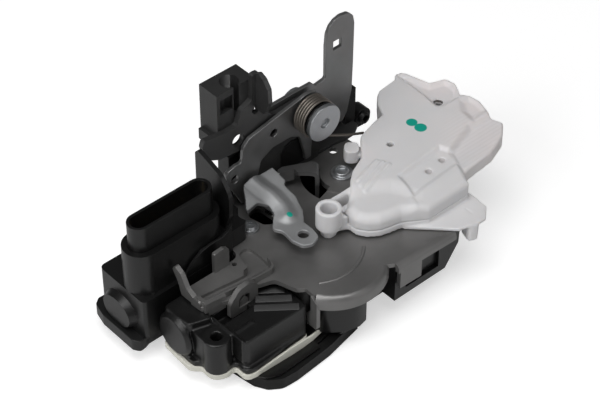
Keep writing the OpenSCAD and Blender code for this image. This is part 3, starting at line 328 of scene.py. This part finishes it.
def bevelled(o, width, segments=2):
    """Breaks the object's edges and shades its faces smooth, flat ones staying flat."""
    edges = o.modifiers.new("edges", "BEVEL")
    edges.width, edges.segments, edges.limit_method = width * MM, segments, "ANGLE"
    edges.angle_limit, edges.miter_outer = BROKEN, "MITER_ARC"
    baked(o)
    with editing(o.data) as bm:
        join_points(bm, BEVEL_REACH)
    shade_smooth(o.data)
    o.data.set_sharp_from_angle(angle=CREASE)
    weigh = o.modifiers.new("weigh", "WEIGHTED_NORMAL")
    weigh.mode, weigh.weight, weigh.keep_sharp = "FACE_AREA", 100, True
    baked(o)


def circle(x, y, radius, sides=32):
    return [(x + radius * math.cos(2 * math.pi * i / sides), y + radius * math.sin(2 * math.pi * i / sides))
            for i in range(sides)]


def prism(bm, outline, low, high, front=False):
    """A closed block on a plan outline; its top has one height, or one for each corner.

    With front, the outline is in X and Z instead, and low and high are in Y."""
    turn = sum(a[0] * b[1] - b[0] * a[1] for a, b in zip(outline, outline[1:] + outline[:1]))
    tops = list(high) if isinstance(high, (list, tuple)) else [high] * len(outline)
    if turn < 0:
        outline, tops = outline[::-1], tops[::-1]
    floor = [bm.verts.new((x * MM, y * MM, low * MM)) for x, y in outline]
    roof = [bm.verts.new((x * MM, y * MM, z * MM)) for (x, y), z in zip(outline, tops)]
    faces = [bm.faces.new(floor[::-1]), bm.faces.new(roof)]
    for i in range(len(outline)):
        j = (i + 1) % len(outline)
        faces.append(bm.faces.new((floor[i], floor[j], roof[j], roof[i])))
    if front:
        for v in floor + roof:
            v.co.y, v.co.z = v.co.z, v.co.y
        bmesh.ops.reverse_faces(bm, faces=faces)


def cut_away(o, block):
    """Cuts a block out of the object by a modifier, and returns the tool that it cuts with."""
    tool = new_object("tool")
    with editing(tool.data) as bm:
        prism(bm, *block)
    cut = o.modifiers.new("cut", "BOOLEAN")
    cut.operation, cut.solver, cut.object = "DIFFERENCE", "EXACT", tool
    return tool


def refined(node, finish, width, segments, shape=None, pockets=()):
    """A copy of the node's solid with its edges broken, pockets sunk in it and its faces shaded smooth."""
    o = new_object(node + "_finished", nodes[node].data.copy())
    with editing(o.data) as bm:
        join_points(bm, SOLID_REACH)
        bmesh.ops.dissolve_limit(bm, angle_limit=FLAT, verts=bm.verts, edges=bm.edges)
    if shape:
        shape(o.data)
    if pockets:
        baked(o, [cut_away(o, block) for block in pockets])
    bevelled(o, width, segments)
    finish_piece(o, finish, node)
    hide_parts(node)


def softened(node, finish, voxel, passes, shape=None, blocks=(), bores=()):
    """A copy of the node's solid, with blocks added and upright holes bored, as one fine even skin.

    It is smoothed until its edges are softly round, and its points may then be moved by a shape function."""
    o = new_object(node + "_soft", nodes[node].data.copy())
    with editing(o.data) as bm:
        bmesh.ops.remove_doubles(bm, verts=bm.verts, dist=SKIN_REACH)
        for block in blocks:
            prism(bm, *block)
    skin = o.modifiers.new("skin", "REMESH")
    skin.mode, skin.voxel_size, skin.adaptivity = "VOXEL", voxel * MM, 0
    tools = [cut_away(o, (circle(x, y, radius), low, high)) for x, y, radius, low, high in bores]
    melt = o.modifiers.new("melt", "SMOOTH")
    melt.factor, melt.iterations = 0.5, passes
    mesh = baked(o, tools)
    if shape:
        shape(mesh)
    shade_smooth(mesh)
    finish_piece(o, finish, node)
    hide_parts(node)


def blocks_piece(name, finish, home, blocks, width, segments=2):
    """Blocks with broken edges, as one piece."""
    o = new_object(name)
    with editing(o.data) as bm:
        for block in blocks:
            prism(bm, *block)
    bevelled(o, width, segments)
    finish_piece(o, finish, home)


def ringed(name, rings, looped, finish, home):
    """A skin over a chain of rings of points, in millimetres, that is looped or else closed at both ends."""
    o = new_object(name)
    with editing(o.data) as bm:
        rings = [[bm.verts.new([c * MM for c in point]) for point in ring] for ring in rings]
        for a, b in zip(rings, rings[1:] + rings[:1] if looped else rings[1:]):
            for i in range(len(a)):
                j = (i + 1) % len(a)
                bm.faces.new((a[i], a[j], b[j], b[i]))
        if not looped:
            bm.faces.new(rings[0][::-1])
            bm.faces.new(rings[-1])
        bmesh.ops.recalc_face_normals(bm, faces=bm.faces)
    bevelled(o, 0.15)
    finish_piece(o, finish, home)


def wire_piece(name, points, thickness, finish, home):
    """Round wire along a chain of points, in millimetres."""
    curve = bpy.data.curves.new(name, "CURVE")
    curve.dimensions, curve.bevel_depth, curve.bevel_resolution = "3D", thickness / 2 * MM, 3
    curve.use_fill_caps = True
    spline = curve.splines.new("POLY")
    spline.points.add(len(points) - 1)
    for knot, point in zip(spline.points, points):
        knot.co = (*(c * MM for c in point), 1)
    path = new_object(name, curve)
    mesh = bpy.data.meshes.new_from_object(path.evaluated_get(bpy.context.evaluated_depsgraph_get()))
    bpy.data.objects.remove(path)
    shade_smooth(mesh)
    return finish_piece(new_object(name, mesh), finish, home)


# ---------------------------------------------------------------- shape functions, in millimetres
def ease(x):
    """0 below 0, 1 above 1, with a smooth rise between."""
    x = np.clip(x, 0, 1)
    return x * x * (3 - 2 * x)


def after(x, start, run):
    """0 up to the start, then rising to 1 over the run."""
    return ease((x - start) / run)


def before(x, end, run):
    """0 from the end on, and 1 from the run's length before it."""
    return ease((end - x) / run)


def path_gap(xy, path):
    """How far each point lies in plan from a chain of points, and how far left of it in X."""
    best, left = np.full(len(xy), 1e9), np.zeros(len(xy))
    for a, b in zip(np.array(path[:-1]), np.array(path[1:])):
        d = b - a
        foot = a + np.clip(((xy - a) @ d) / (d @ d), 0, 1)[:, None] * d
        gap = np.hypot(*(xy - foot).T)
        left = np.where(gap < best, foot[:, 0] - xy[:, 0], left)
        best = np.minimum(best, gap)
    return best, left


def flowing(path, steps=8):
    """A smooth curve through the points of a path (Catmull-Rom)."""
    p = np.array([path[0], *path, path[-1]], float)
    t = np.linspace(0, 1, steps, endpoint=False)[:, None]
    curve = [0.5 * (2 * b + (c - a) * t + (2 * a - 5 * b + 4 * c - d) * t ** 2
                    + (3 * b - a - 3 * c + d) * t ** 3) for a, b, c, d in zip(p, p[1:], p[2:], p[3:])]
    return [tuple(q) for q in np.vstack([*curve, p[-1:]])]


def depth_inside(xy, outline):
    """How deep each point lies inside a closed outline in plan, negative outside it."""
    line = np.array(outline, float)
    inside = np.zeros(len(xy), bool)
    for p, q in zip(line, np.roll(line, -1, axis=0)):
        if p[1] != q[1]:
            edge_x = p[0] + (xy[:, 1] - p[1]) * (q[0] - p[0]) / (q[1] - p[1])
            inside ^= ((p[1] > xy[:, 1]) != (q[1] > xy[:, 1])) & (xy[:, 0] < edge_x)
    gap = path_gap(xy, list(map(tuple, line)) + [tuple(line[0])])[0]
    return np.where(inside, gap, -gap)


LID_LINE = [
    (1.8, -20.5), (1.6, -26.2), (4, -29.8), (7.4, -32.3), (11.1, -33.3), (15.5, -34.2), (19.4, -36.9),
    (23.5, -39.3), (42.7, -39.3), (44.6, -34.6), (49.4, -33.9), (60.2, -33), (68.7, -29.8), (74.1, -25),
    (72.4, -19.8), (73.4, -17.6), (75, -12.4), (74.5, -7.8), (72.1, -5.2), (73.8, -2.9), (75.3, 0.5),
    (74.4, 4.7), (68.6, 6.9), (66.3, 15.8), (65, 18), (62.4, 18.4), (60.7, 16.5), (52.1, 15.6), (49.5, 14.1),
    (46.3, 10.4), (43.8, 5.2), (38.8, 4.4), (30, 1.9), (26, -2.6), (22.4, -6.6), (15.5, -9.6), (11.4, -12.8),
    (9.4, -15.4), (5, -18.6)]
# Lowered areas of the lid: outline, height, width of the slope at its edge
LID_FORMS = [
    # Right rear lobe
    ([(63.3, 17), (63.2, 11), (62.6, 3), (61.8, -4.3), (64, -5.3), (70.5, -5.4), (73.3, -2.0), (74.0, 1.5),
      (73.2, 3.8), (67.4, 5.8), (65.4, 13.4)], -1.7, 2.2),
    # Dish at the right end
    ([(73.2, -8), (73.9, -12.4), (72.6, -17.2), (65.8, -18.2), (66.6, -12.5), (70, -8.2)], -1.2, 3.6),
    # Right front corner
    ([(62.4, -19.6), (72.3, -19.8), (82, -19.8), (82, -45), (44.6, -45), (44.4, -33.4), (48.2, -24.4)],
     -1.9, 2.4),
    # Recess with the two small holes
    ([(25.6, -22.4), (46.7, -20.6), (48.2, -24.4), (45.3, -30.2), (23.5, -31.8)], -1.2, 1.9),
    # Front step
    ([(22.4, -32), (46, -29.9), (46, -44), (18, -44)], -0.35, 1.2),
    # Left shoulder
    ([(-4, -38), (-4, -17), (6, -16.5), (14, -19.5), (20.5, -23.5), (24.0, -31.6), (18.6, -37.5)], -1.5, 6.5)]
LID_RIBS = [[(13.3, -14.6), (24.9, -11.7)], [(12.6, -17.0), (26.0, -13.6)], [(12.2, -19.5), (26.9, -15.8)]]
RIB_RISE, RIB_HALF, RIB_SLOPE = 0.5, 0.25, 0.75
LID_CROWN = 0.8                     # How far the lid's top stands above its solid's flat
LID_FLAT, LID_ROOT = 36.2, 31.0     # The flat's height, and the height below which nothing moves
FRONT_FALL = 1.3                    # How far the front step's edge falls
SHOULDER, LEFT_SHOULDER, FRONT_SHOULDER = 0.9, 2.5, 1.4     # Edge radius, and what two places add to it
SHOULDER_DROP = 0.9                 # Share of a full round that the edge drops


def lid_shape(mesh):
    """The lid's moulded forms: sunken lobes, the front step, ribs and soft shoulders."""
    p, normal_z = points_of(mesh), np.array([v.normal.z for v in mesh.vertices])
    xy, (x, y, z) = p[:, :2], p.T
    rise = np.full(len(p), LID_CROWN)
    for outline, height, slope in LID_FORMS:
        rise += height * ease(depth_inside(xy, outline) / slope + 0.5)
    rise -= FRONT_FALL * before(y, -32.5, 6.5) * after(x, 20, 4) * before(x, 46, 3)
    for rib in LID_RIBS:
        rise += RIB_RISE * ease(1 - (path_gap(xy, rib)[0] - RIB_HALF) / RIB_SLOPE)
    soft_left = before(x, 24, 8) * before(y, -14, 6)
    soft_front = after(x, 19, 3) * before(x, 46, 3) * before(y, -30, 4)
    radius = SHOULDER + LEFT_SHOULDER * soft_left + FRONT_SHOULDER * soft_front
    edge = np.clip(1 - np.clip(depth_inside(xy, LID_LINE), 0, None) / radius, 0, 1)
    rise -= radius * (1 - np.sqrt(1 - edge * edge)) * SHOULDER_DROP
    outer = after(normal_z, -0.35, 0.3)     # The lid's inner side doesn't move
    flat = np.minimum(z, LID_FLAT)
    lift = np.clip((flat - LID_ROOT) / (LID_FLAT - LID_ROOT), 0, 1) * rise
    z[:] = np.where(z > LID_ROOT, z + outer * (flat + lift - z), z)
    move_points(mesh, p)


ARM_BEAD = [(-13.4, 8.6), (-12.6, 4.8), (-11.4, 1.4), (-11.0, -2.2), (-11.6, -5.2), (-12.8, -7.8)]
BEAD_RISE, BEAD_HALF, BEAD_SLOPE = 1.3, 0.2, 4.1
ARM_PROFILE = [(-60, 31.5), (-8, 31.5), (-2, 32.5), (4, 35.5), (12, 38.1), (40, 47.2)]     # Y and Z
SWEEP = 2.6         # How far the profile's corners are spread, along Y
FLANK_FALL = 1.5    # How far the sheet falls left of the bead


def arm_shape(mesh):
    """The release arm's drawn form: a smooth sweep, a broad round-ended bead and a falling left flank."""
    p = points_of(mesh)
    y, z = p[:, 1], p[:, 2]
    along = np.linspace(-40, 30, 701)
    profile = np.interp(along, *zip(*ARM_PROFILE))
    window = np.exp(-0.5 * (np.linspace(-9, 9, 181) / SWEEP) ** 2)
    smooth = np.convolve(np.pad(profile, len(window) // 2, "edge"), window / window.sum(), "valid")
    gap, left = path_gap(p[:, :2], flowing(ARM_BEAD))
    sheet = after(z, 28.5, 2)
    lift = np.interp(y, along, smooth - profile)
    lift += BEAD_RISE * ease(1 - (gap - BEAD_HALF) / BEAD_SLOPE)
    lift -= FLANK_FALL * after(left, 3.4, 8) * after(y, -11, 6)
    z += sheet * lift
    move_points(mesh, p)


PIVOT = (13.1, 52.0)                    # X and Z of the two levers' pivot
WASHER_BACK, WASHER_GROWTH = 3.5, 1.07  # The head lies in front of this Y, and grows so much
CAP_START, CAP_SHARE = -66.4, 0.30      # The front motor's bulge: its first X, and the share that is kept
# The rear motor's bulge: Y and Z of its middle, its radius, and the X where it starts
REAR_MOTOR, REAR_RADIUS, REAR_START = (5.4, 17.4), 8.7, -71.9
# The X of its face and the share that is kept beyond, its shift in Y, its foot and the height kept above that
REAR_FACE, REAR_SHARE, REAR_SHIFT, REAR_FOOT, REAR_HEIGHT = -72.1, 0.62, 2.9, 9.4, 0.8


def washer_shape(mesh):
    """The washer head, a little broader than its solid."""
    p = points_of(mesh)
    head = p[:, 1] < WASHER_BACK
    for axis, middle in zip((0, 2), PIVOT):
        p[:, axis] = np.where(head, middle + (p[:, axis] - middle) * WASHER_GROWTH, p[:, axis])
    move_points(mesh, p)


def cap_shape(mesh):
    """The front motor's bulge, pushed back so that it only stands a little proud."""
    p = points_of(mesh)
    x = p[:, 0]
    x[:] = np.where(x < CAP_START, CAP_START + (x - CAP_START) * CAP_SHARE, x)
    move_points(mesh, p)


def rear_shape(mesh):
    """The rear motor's bulge, pushed back in the same way, and set further back and lower."""
    p = points_of(mesh)
    x, y, z = p.T
    bulge = (x < REAR_START) & (np.hypot(y - REAR_MOTOR[0], z - REAR_MOTOR[1]) < REAR_RADIUS)
    y += REAR_SHIFT * bulge
    z[:] = np.where(bulge, REAR_FOOT + (z - REAR_FOOT) * REAR_HEIGHT, z)
    x[:] = np.where(bulge & (x < REAR_FACE), REAR_FACE + (x - REAR_FACE) * REAR_SHARE, x)
    move_points(mesh, p)


# ---------------------------------------------------------------- refined copies of the solids
# Pocket pressed in the plate's left arm, up to its folded front edge
ARM_POCKET = [*flowing([(-56.9, -12.8), (-47.9, -14.0), (-39.4, -15.1), (-36.3, -14.4), (-34.7, -11.0),
                        (-33.5, -7.1), (-31.3, -5.7), (-29.0, -6.6), (-28.4, -10.6), (-29.2, -18.0),
                        (-31.2, -20.1)], 4), (-38.0, -19.9), (-50.0, -18.3), (-56.9, -17.4)]
# Eye sunk in the middle of the washer head, cut from well in front of it
EYE_RADIUS, EYE_DEPTH, EYE_START = 1.9, 1.1, -9
HEAD_FRONT = float(points_of(nodes["pivot_rivet"].data)[:, 1].min())

# Material, width and segments of the broken edges, then a shape function and pockets where there are any
EDGES = {
    "seal_pad": (rubber, 0.9, 3),
    "lower_case": (black, 0.45, 2),
    "base_gasket": (foam, 0.5, 2),
    "main_plate": (plate_steel, 0.3, 2, None, [(ARM_POCKET, 24.7, 34)]),
    "plate_screw": (bright, 0.2, 2),
    "pawl_pivot": (bright, 0.25, 2),
    "pawl_finger": (lever_steel, 0.3, 2),
    "rear_housing": (black, 0.7, 3, rear_shape),
    "rear_cover": (black_rough, 0.8, 3),
    "connector_shroud": (black, 0.45, 2),
    "cable_bracket": (bracket_steel, 0.3, 2),
    "cable_clip": (holder_black, 0.3, 2),
    "rear_tower": (black_rough, 0.4, 2),
    "lever_guide": (black, 0.4, 2),
    "pivot_rivet": (bright, 0.25, 2, washer_shape,
                    [(circle(*PIVOT, EYE_RADIUS), EYE_START, HEAD_FRONT + EYE_DEPTH, True)]),
    "arch_lever": (lever_steel, 0.3, 2),
    "tall_lever": (lever_steel, 0.3, 2),
    "pawl": (catch_steel, 0.3, 2),
    "face_plate": (face_black, 0.3, 2),
}
for node, how in EDGES.items():
    refined(node, *how)

# Nub at the output lever's end: its middle, the way it points, its half sizes and how square it is
NUB, NUB_OUT, NUB_HALF, NUB_POWER = (25.2, 1.2), (-0.7475, 0.6643), (2.6, 2.85), 0.6


def nub_outline(steps=36):
    outline = []
    for i in range(steps):
        t = 2 * math.pi * i / steps
        a, b = (math.copysign(half * abs(v) ** NUB_POWER, v)
                for half, v in zip(NUB_HALF, (math.cos(t), math.sin(t))))
        outline.append((NUB[0] + NUB_OUT[0] * a - NUB_OUT[1] * b, NUB[1] + NUB_OUT[1] * a + NUB_OUT[0] * b))
    return outline


softened("actuator_lid", lid_white, 0.45, 4, lid_shape)
softened("actuator_base", white, 0.4, 3)
softened("output_lever", white, 0.3, 8, blocks=[(nub_outline(), 29.6, 34.8)])
softened("release_arm", arm_bright, 0.22, 3, arm_shape)
softened("front_housing", black, 0.36, 3, cap_shape, blocks=[
    # Square tower round the screw post
    ([(-64.4, -18.3), (-56.1, -19.6), (-56.3, -28.8), (-57.6, -31), (-60.4, -31.7), (-63.4, -30.4),
      (-64.9, -27.6), (-64.9, -21.5)], 8.2, 21.3),
    # Raised rim between the tower and the deck, and the L-shaped rib on the deck
    ([(-56.6, -19.8), (-55.8, -19.8), (-55.6, -35.6), (-56.4, -35.2)], 12, 22.2),
    ([(-55.6, -29.6), (-55.6, -30.4), (-47.3, -30.3), (-47.3, -29.5)], 20, 22.1),
    # Deck behind the plate's leg
    ([(-43.4, -25.5), (-43.4, -21.2), (-30, -19.6), (-29.4, -25.5)], 16, 21.2)],
    bores=[(-60.5, -27, 1.9, 5, 40)])

# Solids that stay as they are, under a material
CARRIED = {
    "fork": catch_steel, "fork_pivot": pin_steel, "fork_spring": wire_steel, "pawl_spring": wire_steel,
    "bump_stop": rubber, "connector_pins": brass, "lock_motor": can_steel, "lock_worm": worm_acetal,
    "lock_wheel": gear_white, "deadlock_motor": can_steel, "deadlock_worm": worm_acetal,
    "deadlock_wheel": gear_white, "wheel_axles": pin_steel, "position_switches": black_gloss,
    "circuit_carrier": board, "release_pivot": pin_steel, "actuator_motor": can_steel,
    "actuator_worm": worm_acetal, "actuator_wheel": gear_white, "case_screws": bright,
}
for node, finish in CARRIED.items():
    coat(nodes[node].data, finish)

# ---------------------------------------------------------------- pieces that the solids only outline
# Lever spring: its long leg, then its coil round the pivot
LEG = [(33.6, 4.2, 34.6), (27.0, 4.4, 37.4), (17.0, 4.8, 42.6)]
WIRE, COIL_RADIUS, COIL_START, COIL_PITCH, COIL_TURNS, COIL_STEPS = 1.0, 6.85, 5.0, 1.08, 5, 40
coil = []
for i in range(COIL_TURNS * COIL_STEPS + 1):
    t = math.radians(-100) - i * 2 * math.pi / COIL_STEPS
    coil.append((PIVOT[0] + COIL_RADIUS * math.cos(t), COIL_START + COIL_PITCH * i / COIL_STEPS,
                 PIVOT[1] + COIL_RADIUS * math.sin(t)))
spring = wire_piece("lever_spring_wound", LEG + coil, WIRE, wire_steel, "lever_spring")
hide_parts("lever_spring")

# Spool inside the coil: radius and Y of its closed profile
SPOOL = [(4.7, 3.5), (6.9, 3.5), (6.9, 4.3), (5.8, 4.5), (5.8, 10.4), (4.7, 10.4)]
ringed("spring_spool", [[(x, y, z) for x, z in circle(*PIVOT, radius, 72)] for radius, y in SPOOL], True,
       black_gloss, "pivot_rivet")

blocks_piece("bracket_foot", bracket_steel, "cable_bracket", [
    ([(19.2, 13.4), (29, 13.2), (33, 12.4), (37.5, 12.6), (41.5, 15.2), (41.5, 18.0), (37.6, 18.0),
      (37.6, 20.6), (24, 19.2), (19.2, 18.4)], 26.0, 27.4)], 0.3)
# Painted shade: a thin black sheet on the bracket's face, darkening the inside of the arch
blocks_piece("arch_shade_sheet", rubber, "cable_bracket", [
    ([(2.6, 28.2), (2.6, 37.0), (4.4, 39.4), (7.6, 40.4), (10.6, 39.6), (13.4, 36.0), (13.4, 28.2)],
     12.72, 13.1, True)], 0.05, 1)
blocks_piece("bracket_side_leaf", lever_steel, "cable_bracket", [
    ([(-21.5, 13.2), (-10.8, 13.2), (-10.8, 14.8), (-21.5, 14.8)], 21.5, (35, 38.5, 38.5, 35))], 0.3)
# Wall along the rear housing's ramp, its top edge swept up to the splash fin
blocks_piece("ramp_wall", black, "rear_housing", [
    ([(-54.4, 24.5), (-54.4, 26.9), (-53.2, 29.0), (-51.6, 30.9), (-49.4, 32.6), (-46.8, 34.1), (-43, 34.9),
      (-38, 35.0), (-35.4, 36.0), (-33.6, 38.6), (-33.6, 26.4), (-46.8, 26.4), (-46.8, 24.5)],
     -3.9, -2.9, True)], 0.12, 1)
# Slope behind the folded front edge of the plate's arm
blocks_piece("arm_fold_slope", plate_steel, "main_plate", [
    ([(-56.9, -14.0), (-56.9, -17.6), (-50.0, -18.5), (-38.0, -20.1), (-31.0, -20.2), (-31.0, -17.0),
      (-38.0, -16.3), (-50.0, -14.9)], 24.0, [24.8, 28.1, 28.25, 28.3, 28.1, 24.8, 24.8, 24.8])], 0.25)


class Tree:
    """A Geometry Nodes tree with named inputs."""

    def __init__(self, name, inputs):
        self.tree = bpy.data.node_groups.new(name, "GeometryNodeTree")
        self.tree.interface.new_socket("Geometry", in_out="OUTPUT", socket_type="NodeSocketGeometry")
        self.keys = {}
        for label, (kind, value) in inputs.items():
            socket = self.tree.interface.new_socket(label, in_out="INPUT", socket_type=kind)
            socket.default_value = value
            self.keys[label] = socket.identifier
        self.entry = self.tree.nodes.new("NodeGroupInput")

    def given(self, label):
        return self.entry.outputs[label]

    def node(self, kind, inputs, output=0, **settings):
        return add_node(self.tree, kind, settings, inputs, output)

    def plain_mesh(self, name, shape, values, finish):
        """The tree's result with these values of its inputs, as an object with a plain mesh."""
        real = self.node("GeometryNodeRealizeInstances", {0: shape})
        real = self.node("GeometryNodeSetMaterial", {"Geometry": real, "Material": finish.material})
        self.tree.links.new(real, self.tree.nodes.new("NodeGroupOutput").inputs[0])
        o = new_object(name)
        maker = o.modifiers.new("maker", "NODES")
        maker.node_group = self.tree
        for label, value in values.items():
            maker[self.keys[label]] = value
        baked(o)
        return o


def louvre_slats(name, first, step, turn, values, finish, home):
    """Slanted slats side by side, each a little longer than the last.

    The first one's place and the step to the next are in millimetres, the values of the tree in metres."""
    first, step = ([c * MM for c in point] for point in (first, step))
    t = Tree("louvre_slats", {"Count": ("NodeSocketInt", 3), "Length": ("NodeSocketFloat", 0.012),
                              "Width": ("NodeSocketFloat", 0.0026), "Thickness": ("NodeSocketFloat", 0.0009),
                              "Tilt": ("NodeSocketFloat", 0.3), "Growth": ("NodeSocketFloat", 0.15)})
    row = t.node("GeometryNodeMeshLine", {"Count": t.given("Count"), "Start Location": first, "Offset": step})
    size = t.node("ShaderNodeCombineXYZ", dict(enumerate(map(t.given, ("Length", "Width", "Thickness")))))
    slat = t.node("GeometryNodeMeshCube", {"Size": size})
    place = t.node("GeometryNodeInputIndex", {})
    longer = t.node("ShaderNodeMath", {0: place, 1: t.given("Growth"), 2: 1.0}, operation="MULTIPLY_ADD")
    scale = t.node("ShaderNodeCombineXYZ", {0: longer, 1: 1.0, 2: 1.0})
    lean = t.node("ShaderNodeCombineXYZ", {0: t.given("Tilt"), 1: 0.0, 2: turn})
    slats = t.node("GeometryNodeInstanceOnPoints", {"Points": row, "Instance": slat, "Rotation": lean,
                                                    "Scale": scale})
    o = t.plain_mesh(name, slats, values, finish)
    bevelled(o, 0.2)
    finish_piece(o, finish, home)


louvre_slats("front_louvres", (-33.6, -22.9, 21.5), (-1.9, -3.7, 0), math.radians(-38.5),
             {"Count": 3, "Length": 9.4 * MM, "Tilt": 0.30, "Growth": 0.30}, black, "front_housing")

# Loose end of the base gasket, drawn up beside the front housing: X, Y, low and high Z along it
TAIL = [(-50.0, -37.75, 5.62, 7.75), (-44.0, -38.0, 5.7, 8.4), (-38.0, -38.15, 5.6, 9.0),
        (-33.0, -38.15, 5.6, 8.8), (-28.6, -38.0, 5.8, 8.4), (-25.0, -37.8, 6.6, 8.6),
        (-21.6, -37.4, 7.8, 9.2)]
TAIL_HALF = 0.35    # Half its thickness
ringed("gasket_tail", [[(x, y - TAIL_HALF, low), (x, y - TAIL_HALF, high), (x, y + TAIL_HALF, high),
                        (x, y + TAIL_HALF, low)] for x, y, low, high in TAIL], False, foam, "base_gasket")

# ---------------------------------------------------------------- floor, light and camera, in metres
FLOOR_REACH, FLOOR_Z, FLOOR_GLOW = 3.0, -0.0004, 0.54
floor = new_object("floor")
floor.data.from_pydata([(x * FLOOR_REACH, y * FLOOR_REACH, FLOOR_Z)
                        for x, y in ((-1, -1), (1, -1), (1, 1), (-1, 1))], [], [(0, 1, 2, 3)])
# The floor glows for the camera only, so it looks white and adds no light
pale = Finish("pale_floor").set(base_color=(0.74, 0.74, 0.74, 1), roughness=0.95)
seen = pale.node("ShaderNodeLightPath", {}, {}, "Is Camera Ray")
glow = pale.node("ShaderNodeEmission", {}, {"Color": (1, 1, 1, 1), "Strength": seen * FLOOR_GLOW})
both = pale.node("ShaderNodeAddShader", {}, {0: pale.shader.outputs[0], 1: glow})
fill(pale.tree, pale.tree.nodes["Material Output"].inputs["Surface"], both)
coat(floor.data, pale)

world = bpy.data.worlds.new("studio")
bpy.context.scene.world = world
world.use_nodes = True
background = world.node_tree.nodes["Background"].inputs
background["Color"].default_value = (1, 1, 1, 1)
background["Strength"].default_value = 0.09

PART_MIDDLE = (0, 0, 0.03)


def softbox(name, at, size, watts):
    """A rectangular lamp aimed at the part."""
    lamp = bpy.data.lights.new(name, "AREA")
    lamp.shape = "RECTANGLE"
    lamp.size, lamp.size_y = size
    lamp.energy = watts
    o = new_object(name, lamp)
    o.location = at
    o.rotation_euler = (Vector(PART_MIDDLE) - Vector(at)).to_track_quat("-Z", "Y").to_euler()


softbox("key_softbox", (-0.85, -0.10, 0.60), (0.7, 0.6), 4.5)
softbox("top_softbox", (-0.20, -0.15, 1.0), (0.8, 0.6), 5.1)
softbox("front_fill", (0.25, -0.9, 0.45), (0.8, 0.5), 1.0)

# The camera looks at the target from the front left, turned from +Y and above the floor by these angles
TARGET, DISTANCE = Vector((0, 0, 0.026)), 0.6897
AZIMUTH, ELEVATION = math.radians(41.8), math.radians(42.5)
look = Vector((math.cos(ELEVATION) * math.sin(AZIMUTH), math.cos(ELEVATION) * math.cos(AZIMUTH),
               -math.sin(ELEVATION)))
cam_data = bpy.data.cameras.new("camera")
cam_data.lens, cam_data.sensor_width = 120, 36
cam_data.clip_start, cam_data.clip_end = 0.01, 20
cam = new_object("camera", cam_data)
cam.location = TARGET - look * DISTANCE
cam.rotation_euler = look.to_track_quat("-Z", "Y").to_euler()
bpy.context.scene.camera = cam
bpy.context.scene.view_settings.view_transform = "Standard"
